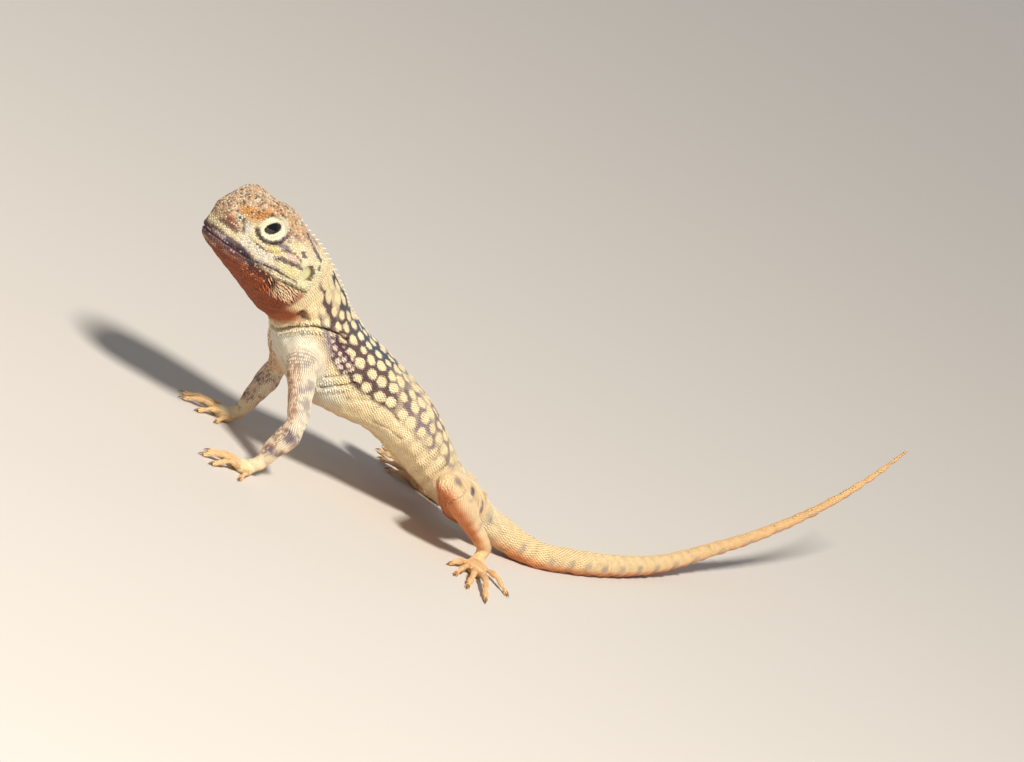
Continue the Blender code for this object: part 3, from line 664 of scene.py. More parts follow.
def distance_to(points, line, reach):
    """Return how far points lie from a line of places, up to a reach."""
    distance = np.full(len(points), reach)
    low, high = line.min(axis=0) - reach, line.max(axis=0) + reach
    close = np.where(np.all((points > low) & (points < high), axis=1))[0]
    start, step = line[:-1], np.diff(line, axis=0)
    square = np.sum(step * step, axis=1) + 1e-9
    for first, vector, size in zip(start, step, square):
        share = np.clip((points[close] - first) @ vector / size, 0.0, 1.0)
        away = np.linalg.norm(points[close] - first - share[:, None] * vector, axis=1)
        distance[close] = np.minimum(distance[close], away)
    return distance


def body_line(surface_tree, points, side):
    """Return a crease's places on the skin, from distances along the body and angles round it."""
    line = []
    for along, degrees in path_between(points, 1.0):
        place, left, up, _ = (value[0] for value in body_frame(along))
        angle = math.radians(degrees)
        outward = left * math.cos(angle) * side + up * math.sin(angle)
        spot, _ = shoot(surface_tree, place + outward * 30.0, -outward)
        if spot is not None:
            line.append(spot)
    return np.array(line)


def head_line(surface_tree, points, side):
    """Return a crease's places on the skin, from distances behind the snout and heights."""
    line = []
    for back, height in path_between(points, CREASE_STEP):
        turn = climb(0.0, 1.6, back)
        outward = unit(head_side * side * (0.15 + turn) + head_forward * (1.0 - turn))
        base = head_point(back + (1.0 - turn) * 0.6, 0.0, height)
        spot, _ = shoot(surface_tree, base + outward * 20.0, -outward)
        if spot is not None:
            line.append(spot)
    return np.array(line)


normals = read_normals(hide_mesh, hide)
skin_tree = tree_of(hide_mesh, hide)
push = np.full(len(hide), -HIDE_DEPTH)
crease_shade = np.zeros(len(hide))
back_at, left_at, height_at = head_lengths(hide)
for swell, back, reach, height, rise in SNOUT_SWELLINGS:
    push += swell * np.exp(-((back_at - back) / reach) ** 2 - ((height_at - height) / rise) ** 2) * on_trunk
for swell, back, reach, low, high in CROWN_SWELLINGS:
    push += swell * np.exp(-((back_at - back) / reach) ** 2) * climb(low, high, height_at) * on_trunk
for side in (1.0, -1.0):
    for name, points, width, depth in BODY_CREASES:
        away = distance_to(hide, body_line(skin_tree, points, side), width * 5.0)
        away = np.where(on_trunk, away, width * 5.0)
        push -= depth * np.exp(-(away / width) ** 2)
        push += depth * 0.2 * np.exp(-((away - width * 2.2) / (width * 1.3)) ** 2)
        dark = np.exp(-(away / (width * 0.75)) ** 2) * min((depth / 0.7) ** 1.5, 1.0)
        crease_shade = np.maximum(crease_shade, dark * (0.7 + 0.3 * np.sin(hide_distance * 1.7)))
    for name, points, width, depth in HEAD_CREASES:
        away = distance_to(hide, head_line(skin_tree, points, side), width * 3.0)
        push -= depth * np.exp(-(away / width) ** 2)

# Under the hide lie the ribs and muscle of the flanks, which show as low swellings, and a low ridge
# along the back. A fine unevenness runs over all of it.
RIB_PITCH = 3.4
RIB_HEIGHT = 0.07
WAVES = ((0.9, 1.7, 0.4, 0.3, 0.045), (1.3, -0.8, 1.9, 1.1, 0.035), (-2.1, 1.2, 0.7, 2.3, 0.03),
         (0.6, 2.4, -1.6, 0.7, 0.03))
for x, y, z, start, height in WAVES:
    push += height * np.sin(hide @ np.array((x, y, z)) + start)
flank = on_trunk * np.exp(-((np.abs(np.sin(hide_angle)) - 0.1) / 0.6) ** 2)
flank *= climb(42.0, 48.0, hide_distance) * fall(72.0, 80.0, hide_distance)
push += RIB_HEIGHT * flank * np.cos(2.0 * math.pi * (hide_distance + 2.5 * np.sin(hide_angle)) / RIB_PITCH)
ridge_angle = np.abs(hide_angle - math.pi / 2.0)
push += 0.12 * on_trunk * np.exp(-(ridge_angle / 0.09) ** 2) * climb(30.0, 40.0, hide_distance)
reach_at = np.zeros(len(hide))
for number, tube in enumerate(tubes):
    chosen = hide_tube == number
    share = hide_distance[chosen] / tube["run"].length
    reach_at[chosen] = tube["reach"][0] + (tube["reach"][1] - tube["reach"][0]) * share
hide = hide + normals * push[:, None]

# Nostrils and ear openings are sunk next, each with a soft rim. The lids are a dome over the eye,
# with a slit that its ball is seen through.


def opening_ring(back, height, opening):
    """Return how far places lie from the middle of an opening, one at its rim."""
    return np.hypot((back - opening[0]) / opening[2], (height - opening[1]) / opening[3])


back_at, left_at, height_at = head_lengths(hide)
for opening in (NOSTRIL, EAR):
    rim, depth = opening[4:]
    ring = opening_ring(back_at, height_at, opening)
    outside = (np.abs(left_at) > OPENING_SIDE) & (back_at < OPENING_BACK) & (ring < 4.0)
    lip = rim * np.exp(-((ring - 1.25) / 0.42) ** 2) * outside
    sunk = depth * fall(0.72, 1.12, ring) * outside
    hide += normals * (lip - sunk)[:, None]
# the lids look outward, a little forward and up, and their slit rises towards the back
LID_LOOK = (0.13, 0.975, 0.17)
LID_LONG = (-0.68, 0.3, 0.67)
LID_OUTLINE = (2.62, 2.16)
LID_SHIFT = 0.3
FLOOR_STOP = 0.03


def lid_axes(side):
    """Return an eye's centre, the direction it faces and the long and short way of its slit."""
    face = unit(head_forward * LID_LOOK[0] + head_side * side * LID_LOOK[1] + head_up * LID_LOOK[2])
    long_way = head_forward * LID_LONG[0] + head_side * side * LID_LONG[1] + head_up * LID_LONG[2]
    long_way = unit(long_way - face * (long_way @ face))
    return head_point(EYE_BACK, side * EYE_OUT, EYE_HEIGHT), face, long_way, np.cross(face, long_way) * side


def lid_ring(points, side):
    """Return how far places lie from an eye's slit and lids' outline, one at the rim, and their bearing."""
    centre, face, long_way, short_way = lid_axes(side)
    away = points - centre
    length, width = away @ long_way, away @ short_way
    behind = 9.0 * ((away @ face) < 0.4) + 9.0 * (np.linalg.norm(away, axis=1) > EYE_RADIUS + 1.8)
    return (np.hypot(length / LID_OPENING[0], width / LID_OPENING[1]) + behind,
            np.hypot((length - LID_SHIFT) / LID_OUTLINE[0], width / LID_OUTLINE[1]) + behind,
            np.degrees(np.arctan2(width, length)))


for side in (1.0, -1.0):
    centre = lid_axes(side)[0]
    away = hide - centre
    radius = np.linalg.norm(away, axis=1)
    ring, outline, _ = lid_ring(hide, side)
    puffed = EYE_RADIUS + 0.2 + 0.34 * climb(1.0, 1.5, ring)
    puffed = puffed + (radius - puffed) * climb(0.86, 1.06, outline)
    fold = 0.05 * np.cos((ring - 1.0) * 9.0) * climb(1.05, 1.3, ring) * fall(0.9, 1.0, outline)
    sunk = EYE_RADIUS - LID_INSET * fall(0.84, 1.0, ring) + 0.2 * climb(0.86, 1.0, ring)
    wanted = np.where(ring < 1.0, sunk, puffed + fold)
    groove = 0.2 * np.exp(-((outline - 1.08) / 0.07) ** 2) * (outline < 2.0)
    wanted = np.where(outline < 1.06, wanted, radius)
    hide = centre + away / radius[:, None] * (wanted - groove)[:, None]
hide[:, 2] = np.maximum(hide[:, 2], FLOOR_STOP)
normals = read_normals(hide_mesh, hide)
skin_tree = tree_of(hide_mesh, hide)
for polygon in hide_mesh.polygons:
    polygon.use_smooth = True

# The markings are laid on skin and scales alike: a pale net of ovals on a dark ground over neck and
# back, bars and a pale lip stripe on the head, and bars down the tail. Painted light is laid with
# them: orange reflected light on the undersides, painted shade on throat, jaw, snout tip, ear and
# the front of the fore limbs, and a painted highlight round each nostril.
NET_ROW = 15.5
NET_PITCH = 2.95
NET_HALF = (1.12, 0.39)
SMALL_ROW = 10.0
SMALL_PITCH = 1.4
TAIL_BARS = (96.4, 104.9, 110.5, 116.5, 122.5, 129.0, 136.0, 143.2, 150.6, 159.2, 168.2, 177.7, 187.6,
             198.0, 208.9)
CREAM = (253, 232, 188)
BACK_GREY = (226, 208, 178)
BELLY = (248, 224, 178)
CHEST = (240, 234, 214)
SLATE = (58, 72, 98)
VIOLET = (88, 60, 68)
LAVENDER = (132, 112, 134)
SHADED_THROAT = (172, 84, 38)
TAIL_UNDER_REFLECTED_LIGHT = (228, 126, 54)
BELLY_REFLECTED_LIGHT = (228, 166, 106)
SHOULDER_PALE = (244, 220, 204)
SHOULDER_GREY = (196, 186, 186)
SMUDGE = (128, 112, 130)
MIDLINE = (236, 226, 204)
TAIL_CREAM = (250, 216, 160)
TAIL_OCHRE = (232, 172, 108)
TAIL_BAR = (140, 132, 146)
HEAD_CREAM = (250, 232, 190)
CROWN_TAN = (226, 188, 148)
CROWN_PALE = (232, 220, 196)
CROWN_FLECK = (104, 84, 82)
THROAT_DARK = (132, 62, 34)
THROAT_PALE = (214, 140, 84)
LIP_DULL = (132, 92, 90)
JAW_SHADE_RED = (138, 62, 44)
LID_DARK = (40, 24, 26)
LID_GREY = (120, 104, 122)
LID_PALE = (255, 247, 214)
LID_EDGE = (50, 34, 32)
JAW_CREAM = (236, 214, 176)
SNOUT_TIP_SHADE = (74, 34, 32)
FORE_CREAM = (244, 230, 204)
HIND_CREAM = (250, 220, 174)
FORE_BAR = (116, 100, 120)
HIND_BAR = (150, 138, 146)
FORE_UNDER_REFLECTED_LIGHT = (226, 170, 110)
FORE_FRONT_SHADE = (204, 158, 126)
HIND_UNDER_REFLECTED_LIGHT = (222, 120, 56)
HAND_CREAM = (250, 228, 176)
FOOT_TAN = (248, 204, 148)
DIGIT_TAN = (253, 207, 150)
BLOT = (100, 88, 112)
CREASE = (92, 56, 44)
# colour, half width, softness, then points behind the snout, out from the midline and over the mouth
HEAD_STROKES = (
    ("orange lore", (220, 154, 82), 1.1, 0.8, ((3.2, 3.8, 6.9), (4.9, 4.8, 7.0), (5.9, 5.0, 8.0),
     (6.8, 5.1, 8.6))),
    ("orange brow", (224, 168, 104), 0.9, 0.9, ((6.9, 4.6, 9.3), (9.4, 4.9, 9.4), (11.6, 5.4, 8.5))),
    ("red nose patch", (160, 88, 62), 0.7, 0.45, ((1.5, 3.2, 4.2), (2.3, 3.8, 3.6))),
    # a painted highlight round the nostril
    ("nostril highlight", (214, 226, 220), 0.6, 0.15, ((2.75, 3.7, 5.25), (2.8, 3.7, 5.25))),
    ("lore bar", (70, 54, 58), 0.36, 0.2, ((3.5, 4.5, 5.5), (3.9, 4.9, 4.6), (4.3, 5.1, 3.6))),
    ("lore patch", (222, 216, 210), 0.5, 0.25, ((4.7, 5.2, 4.9), (4.9, 5.3, 3.9))),
    ("stripe front", (244, 228, 186), 0.6, 0.15, ((0.3, 1.2, 2.8), (0.7, 2.6, 2.2), (2.0, 4.0, 2.15),
     (3.1, 4.8, 2.15), (5.0, 5.6, 2.5))),
    ("stripe rear", (240, 228, 204), 0.95, 0.25, ((5.0, 5.6, 2.2), (6.4, 6.2, 1.9), (8.2, 6.8, 1.5),
     (10.0, 7.2, 1.35), (11.5, 7.5, 1.1))),
    ("dark nose side", (96, 60, 60), 0.4, 0.3, ((0.6, 2.3, 3.2), (1.6, 3.6, 3.2), (3.2, 4.6, 3.1))),
    ("grey behind arc", (120, 104, 122), 0.5, 0.3, ((9.2, 6.7, 3.8), (10.3, 6.9, 4.4), (12.0, 7.2, 4.7),
     (12.6, 7.35, 4.4))),
    ("second fold", (64, 50, 60), 0.2, 0.12, ((6.7, 6.2, 2.75), (8.0, 6.7, 2.6), (8.9, 6.9, 2.45),
     (10.2, 7.2, 2.6))),
    ("yellow patch", (246, 226, 156), 0.75, 0.35, ((9.6, 7.0, 3.25), (11.0, 7.3, 3.3))),
    ("brow line", (86, 76, 84), 0.22, 0.15, ((7.2, 5.5, 8.5), (7.9, 5.66, 8.8), (9.0, 5.7, 9.05),
     (10.0, 5.75, 8.7))),
    ("brow shade", (172, 140, 110), 0.3, 0.3, ((8.4, 5.4, 9.6), (10.6, 5.5, 9.1))),
    ("cheek bar", (74, 44, 54), 0.45, 0.16, ((11.3, 7.6, 2.1), (12.4, 7.8, 2.5), (13.5, 7.95, 2.65),
     (14.8, 8.1, 2.6), (16.1, 8.1, 2.75))),
    ("cheek line", (96, 66, 76), 0.22, 0.14, ((11.7, 7.3, 4.0), (13.1, 7.5, 4.3), (14.6, 7.65, 4.2),
     (15.9, 7.7, 3.6))),
    ("cheek pink", (230, 204, 190), 0.45, 0.2, ((13.2, 7.8, 3.5), (14.9, 7.9, 3.45))),
    ("cheek cream", (248, 232, 176), 0.75, 0.3, ((11.4, 7.6, 0.95), (13.6, 8.2, 1.1), (15.4, 8.3, 1.2))),
    ("temple spot", (72, 60, 88), 0.42, 0.16, ((15.55, 7.3, 5.15), (16.2, 7.5, 4.7))),
    ("slate stripe", (88, 84, 108), 0.5, 0.2, ((13.4, 3.2, 8.9), (15.3, 3.7, 8.4), (16.1, 4.6, 7.8),
     (17.1, 5.4, 7.0), (18.1, 5.85, 6.3), (19.0, 6.05, 5.7), (20.3, 5.95, 5.1))),
    ("stripe branch", (118, 104, 128), 0.3, 0.2, ((15.4, 3.0, 8.6), (17.2, 3.4, 7.6), (19.0, 3.8, 6.8))),
    ("temple violet", (128, 100, 132), 0.42, 0.22, ((13.1, 6.3, 7.0), (13.7, 6.3, 6.7))),
    ("behind lids", (150, 130, 126), 0.3, 0.25, ((11.7, 6.1, 7.5), (12.3, 6.3, 6.7), (12.2, 6.7, 5.7))),
    ("ear rim", (248, 236, 196), 0.55, 0.3, ((16.5, 7.8, 3.4), (17.6, 7.5, 4.2), (18.9, 7.2, 4.4),
     (20.0, 7.0, 3.4), (20.1, 7.2, 2.0), (19.9, 7.4, 0.8), (18.6, 7.9, -0.1))),
    # the ear crescent is partly the rim's own dark colour and partly painted shade in the opening
    ("ear crescent", (84, 60, 44), 0.34, 0.14, ((18.5, 7.35, 3.5), (19.2, 7.3, 3.1), (19.4, 7.4, 2.2),
     (19.2, 7.6, 1.4))),
    ("dot behind ear", (74, 70, 78), 0.3, 0.14, ((20.5, 6.9, 3.7), (20.6, 6.9, 3.4))),
    ("line under ear", (110, 104, 104), 0.16, 0.12, ((18.6, 8.0, -0.35), (20.3, 7.6, -0.1))),
    ("jowl ridge", (250, 236, 186), 0.5, 0.2, ((13.8, 8.2, -0.35), (17.6, 8.25, -0.35),
     (21.0, 7.3, -0.6), (24.0, 6.4, -0.45))),
    ("jowl line", (96, 70, 48), 0.15, 0.12, ((13.6, 8.2, -1.0), (17.6, 8.2, -1.05), (21.0, 7.2, -1.3),
     (23.6, 6.4, -1.1))),
    ("lip dark front", (86, 52, 56), 0.45, 0.3, ((0.4, 1.9, 1.5), (1.6, 3.7, 1.2), (3.0, 4.7, 1.0))),
    ("lip beads", (206, 192, 190), 0.3, 0.2, ((0.5, 2.3, 0.95), (2.5, 4.4, 0.75), (4.0, 5.2, 0.9))),
    ("lip slate front", (54, 42, 52), 0.55, 0.2, ((2.6, 4.5, 0.5), (3.6, 5.0, 0.75), (4.6, 5.4, 0.7))),
    ("lip slate rear", (54, 44, 60), 0.62, 0.2, ((5.3, 5.6, 0.45), (6.6, 6.2, -0.1), (7.8, 6.6, -0.6),
     (8.6, 6.8, -0.7))),
    ("lip maroon", (122, 66, 66), 0.4, 0.3, ((3.9, 5.1, -0.35), (5.4, 5.7, -0.75), (6.6, 6.1, -1.2))),
    ("lip grey rear", (196, 180, 184), 0.32, 0.25, ((8.8, 7.0, 0.2), (11.0, 7.5, 0.5),
     (13.0, 7.9, 0.55))),
    ("mouth corner", (86, 54, 50), 0.22, 0.14, ((9.0, 7.0, -0.35), (11.3, 7.4, 0.15), (13.7, 7.9, 0.12),
     (16.9, 8.1, -0.08))),
    ("jaw shade", (80, 38, 32), 0.75, 0.45, ((8.6, 6.8, -1.0), (11.0, 7.3, -1.3), (13.0, 7.8, -1.9),
     (14.2, 8.0, -2.3))),
)
rng = np.random.default_rng(7)


def shade(colour):
    """Turn a colour counted to 255 as screens show it into the plain light values."""
    value = np.asarray(colour, dtype=float) / 255.0
    return np.where(value <= 0.04045, value / 12.92, ((value + 0.055) / 1.055) ** 2.4)


def chance(*numbers):
    """Return an even spread of values from 0 to 1, the same for the same whole numbers."""
    mixed_value = np.zeros_like(np.asarray(numbers[0], dtype=float))
    for factor, number in zip((12.9898, 78.233, 37.719, 9.151), numbers):
        mixed_value = mixed_value + np.asarray(number, dtype=float) * factor
    value = np.sin(mixed_value) * 43758.5453
    return value - np.floor(value)


def drift(points, pitch, seed):
    """Return soft blotches from 0 to 1, about a pitch across."""
    total = np.zeros(len(points))
    for turn in range(4):
        direction = np.array((math.sin(seed + turn * 1.9), math.cos(seed * 1.3 + turn * 2.7),
                              math.sin(seed * 0.7 + turn * 4.1)))
        total += np.sin(points @ (direction * 2.0 * math.pi / pitch) + seed * (turn + 1.0))
    return np.clip(0.5 + total * 0.22, 0.0, 1.0)


def cells(along, degrees, girth, pitch, row_size, half, seed):
    """Return how far points lie from the nearest oval of a staggered net, one at the oval's edge."""
    nearest_cell = np.full(len(along), 9.0)
    row = np.floor((93.0 - degrees) / row_size)
    for row_step in (-1.0, 0.0, 1.0):
        this_row = row + row_step
        middle = 93.0 - row_size * (this_row + 0.5)
        shift_by = 0.5 * np.mod(this_row, 2.0)
        column = np.floor(along / pitch + shift_by)
        for column_step in (-1.0, 0.0, 1.0):
            this_column = column + column_step
            swing = chance(this_row, this_column, seed) - 0.5
            lift = chance(this_row, this_column, seed + 3.0) - 0.5
            grow = 0.8 + 0.34 * chance(this_row, this_column, seed + 5.0)
            centre = (this_column + 0.5 - shift_by + 0.3 * swing) * pitch
            ahead = (along - centre) / (half[0] * grow)
            aside = np.radians(degrees - middle - 0.3 * lift * row_size) * girth
            wide = np.maximum(half[1] * grow * np.radians(row_size) * girth, 0.25)
            nearest_cell = np.minimum(nearest_cell, np.hypot(ahead, aside / wide))
    return nearest_cell


def blend(base, colour, mask):
    """Lay a colour over another by a mask."""
    return base + (shade(colour) - base) * np.clip(mask, 0.0, 1.0)[:, None]


def paint_trunk(points, along, angle):
    """Return the colours of places on head, trunk and tail."""
    rise = np.sin(angle)
    side = np.where(np.cos(angle) >= 0.0, 1.0, -1.0)
    degrees = np.degrees(np.arctan2(rise, np.abs(np.cos(angle))))
    sizes = BODY.at(along)
    upward = np.where(rise > 0.0, sizes[:, 4], sizes[:, 5])
    girth = sizes[:, 3] * np.abs(np.cos(angle)) + upward * np.abs(rise)
    seed = 1.0 + side
    blotch = drift(points, 5.5, 2.0)
    mottle = drift(points, 1.3, 5.0)
    colour = np.tile(shade(CREAM), (len(points), 1))
    colour = blend(colour, BACK_GREY, 0.35 * climb(40.0, 80.0, degrees) * (0.4 + 0.6 * blotch))
    colour = blend(colour, BELLY, climb(0.0, -25.0, degrees))
    chest = climb(-12.0, -30.0, degrees) * climb(27.0, 30.0, along) * fall(40.0, 46.0, along)
    colour = blend(colour, CHEST, chest)
    # painted orange reflected light on the low belly, stronger towards the underside
    colour = blend(colour, BELLY_REFLECTED_LIGHT, 0.6 * climb(-32.0, -75.0, degrees) * climb(30.0, 40.0, along))

    # the net of neck and back
    cell = cells(along, degrees, girth, NET_PITCH, NET_ROW, NET_HALF, seed)
    strength = climb(19.5, 23.5, along) * (1.0 - 0.12 * climb(47.0, 58.0, along))
    strength *= 1.0 - 0.5 * climb(62.0, 76.0, along)
    strength *= fall(86.0, 94.0, along)
    low = np.interp(along, (20.0, 25.0, 28.6, 30.0, 34.0, 42.0, 50.0, 60.0, 90.0),
                    (14.0, 4.0, -8.0, 2.0, -2.0, -5.0, 0.0, 2.0, 6.0))
    strength *= climb(low - 5.0, low + 5.0, degrees)
    patchy = climb(0.28, 0.55, drift(points, 4.2, 9.0))
    strength *= 0.95 - (1.0 - patchy) * 0.48 * climb(44.0, 54.0, along)
    neck = fall(27.0, 31.0, along)
    strength *= 1.0 - 0.75 * neck * fall(0.38, 0.58, drift(points, 3.1, 21.0))
    ground = shade(VIOLET) + (shade(SLATE) - shade(VIOLET)) * climb(30.0, 62.0, degrees)[:, None]
    late = climb(46.0, 58.0, along)[:, None]
    ground = ground + (shade(LAVENDER) - ground) * late * 0.75
    outside = climb(0.9, 1.1, cell + 0.14 * (mottle - 0.5) - 0.1 * late[:, 0])
    mask = np.clip(strength * outside, 0.0, 1.0)[:, None]
    colour = colour + (ground - colour) * mask
    small = cells(along, degrees, girth, SMALL_PITCH, SMALL_ROW, (0.5, 0.37), seed + 11.0)
    shoulder = climb(29.8, 33.2, along) * fall(38.5, 40.0, along) * climb(-12.0, -4.0, degrees)
    shoulder *= fall(16.0, 22.0, degrees)
    colour = blend(colour, SHOULDER_PALE, shoulder * fall(0.85, 1.1, small))
    colour = blend(colour, VIOLET, shoulder * 0.95 * climb(0.85, 1.1, small))
    grey = climb(28.5, 30.0, along) * fall(32.0, 35.0, along) * climb(-20.0, -8.0, degrees)
    colour = blend(colour, SHOULDER_GREY, 0.6 * grey * fall(0.0, 15.0, degrees) * blotch)
    smudge = climb(28.8, 30.0, along) * fall(34.0, 37.0, along) * climb(-36.0, -24.0, degrees)
    smudge *= fall(-4.0, 4.0, degrees) * climb(0.4, 0.7, 0.5 * blotch + 0.5 * mottle)
    colour = blend(colour, SMUDGE, 0.6 * smudge)
    midline = np.exp(-(np.radians(90.0 - degrees) * girth / 0.3) ** 2) * climb(24.0, 30.0, along)
    colour = blend(colour, MIDLINE, 0.9 * midline * fall(90.0, 110.0, along))
    hip = np.exp(-((along - 85.8) / 1.0) ** 2 - ((degrees - 21.0) / 9.0) ** 2)
    colour = blend(colour, SLATE, 0.8 * hip)

    # the tail is cream to ochre above, with painted orange reflected light below, and faint bars that widen
    # on the side
    tail = climb(84.0, 98.0, along)
    colour = blend(colour, TAIL_CREAM, tail * 0.8)
    colour = blend(colour, TAIL_OCHRE, tail * 0.55 * climb(120.0, 200.0, along))
    # painted orange reflected light on the tail's underside
    colour = blend(colour, TAIL_UNDER_REFLECTED_LIGHT, tail * 0.85 * climb(10.0, -35.0, degrees))
    for number, bar in enumerate(TAIL_BARS):
        half = 0.9 + 0.05 * number
        band = np.exp(-((along - bar) / half) ** 4) * np.exp(-((degrees - 8.0) / 24.0) ** 4)
        colour = blend(colour, TAIL_BAR,
                       0.62 * band * (0.45 + 0.55 * mottle) * (1.0 - 0.4 * climb(150.0, 215.0, along)))
    return colour


def paint_head(colour, points, along):
    """Lay the head's markings, with painted shade on throat, jaw and snout tip, over the trunk's colours."""
    back, left, height = head_lengths(points)
    spot = np.stack((back, np.abs(left), height), axis=1)
    on_head = fall(19.0, 22.0, along)
    mottle = drift(points, 0.9, 3.0)
    blotch = drift(points, 2.6, 8.0)
    crown = on_head * climb(5.8, 7.6, height + 0.12 * np.maximum(8.0 - back, 0.0))
    snout_top = on_head * climb(2.6, 3.8, height) * fall(2.0, 5.0, back)
    colour = blend(colour, HEAD_CREAM, on_head * 0.8)
    colour = blend(colour, CROWN_TAN, np.maximum(crown, snout_top) * 0.95)
    colour = blend(colour, CROWN_PALE, crown * climb(0.45, 0.8, blotch) * 0.6)
    grain_step = np.floor(points / 0.42)
    fleck = chance(grain_step[:, 0], grain_step[:, 1], grain_step[:, 2])
    flecks = climb(0.80, 0.9, fleck) * np.maximum(crown, snout_top)
    colour = blend(colour, CROWN_FLECK, 0.75 * flecks * (1.0 - 0.6 * climb(9.0, 15.0, back)))
    # the throat is painted dark red-brown: painted shade with red reflected light, patched darker
    throat = on_head * climb(-0.9, -1.9, height)
    bearing = np.degrees(np.arctan2(height + 1.0, np.abs(left)))
    low_throat = fall(24.5, 27.5, along) * climb(-24.0, -42.0, bearing)
    under = np.maximum(throat, low_throat * climb(12.0, 16.0, back))
    colour = blend(colour, SHADED_THROAT, under)
    patchy = climb(0.35, 0.8, 0.5 * blotch + 0.5 * drift(points, 0.8, 12.0))
    colour = blend(colour, THROAT_DARK, under * 0.6 * patchy)
    paler = low_throat * climb(18.0, 26.0, back) * 0.5 * (0.5 + 0.5 * mottle)
    colour = blend(colour, THROAT_PALE, paler)
    front_lip = on_head * fall(1.0, 2.0, height) * climb(-1.1, -0.7, height)
    colour = blend(colour, LIP_DULL, front_lip * fall(6.0, 10.0, back))
    # under the lower lip the jaw is painted dark red in blotches: painted shade with red reflected light
    jaw = on_head * climb(-0.5, -1.0, height) * fall(-2.6, -1.6, -height - 4.4)
    colour = blend(colour, JAW_SHADE_RED, jaw * fall(9.0, 15.0, back) * (0.35 + 0.65 * blotch))
    for name, tone, half, soft, line in HEAD_STROKES:
        jag = 0.42 * (mottle - 0.5)
        squeeze = np.array((1.0, 1.0 if line[0][2] > 6.4 else 0.35, 1.0))
        away = distance_to(spot * squeeze, np.array(line) * squeeze, half + 2.0)
        mask = (0.76 + 0.22 * mottle) * on_head * (np.abs(left) > 0.6)
        colour = blend(colour, tone, mask * fall(half - soft, half + soft, away + jag))
    for side in (1.0, -1.0):
        ring, outline, bearing = lid_ring(points, side)
        turned = np.abs(np.mod(bearing + 116.0 + 180.0, 360.0) - 180.0)
        dark = fall(74.0, 94.0, turned)
        dark *= np.exp(-((outline - 1.2 + 0.1 * (mottle - 0.5)) / 0.19) ** 4)
        colour = blend(colour, LID_DARK, 0.95 * dark * on_head)
        grey_arc = fall(20.0, 40.0, np.abs(bearing + 32.0))
        grey_arc *= np.exp(-((outline - 1.25) / 0.16) ** 4)
        colour = blend(colour, LID_GREY, 0.7 * grey_arc * on_head)
        colour = blend(colour, LID_PALE, fall(0.96, 1.03, outline))
        colour = blend(colour, LID_EDGE, fall(1.0, 1.08, ring))
    zebra = on_head * np.exp(-((back - 16.0) / 2.6) ** 4 - ((height + 2.7) / 1.35) ** 4)
    colour = blend(colour, JAW_CREAM, 0.75 * zebra)
    # the front of the snout is painted dark maroon as painted shade
    rostral = np.exp(-((back + 0.1) / 0.75) ** 2 - ((height - 0.75) / 0.8) ** 2)
    colour = blend(colour, SNOUT_TIP_SHADE, rostral * 0.9)
    return colour


# middle along the limb and half length of each band, and its strength where that differs
FORE_BANDS = ((0.05, 0.05, 0.4), (0.26, 0.05, 0.55), (0.43, 0.035, 0.45), (0.63, 0.05, 0.75),
              (0.83, 0.04, 0.7))
HIND_BANDS = ((0.25, 0.03), (0.62, 0.035), (0.8, 0.035))
# place, size and strength of the blots on the near limbs, which the far limbs carry too
HIND_SPOTS = ((36.3, -4.9, 15.3, 1.0, 0.7), (42.8, -0.4, 12.7, 1.1, 0.8), (49.9, 5.5, 9.1, 1.1, 0.75),
              (52.5, -0.6, 4.5, 0.8, 0.8))
FORE_SPOTS = ((3.3, -0.9, 9.7, 1.25, 0.8), (1.5, -0.4, 5.9, 0.9, 0.85), (3.7, -0.8, 6.0, 0.8, 0.75),
              (4.4, 1.4, 15.9, 1.1, 0.55), (4.2, 3.4, 18.9, 1.0, 0.5), (4.9, -0.6, 13.2, 0.7, 0.5))


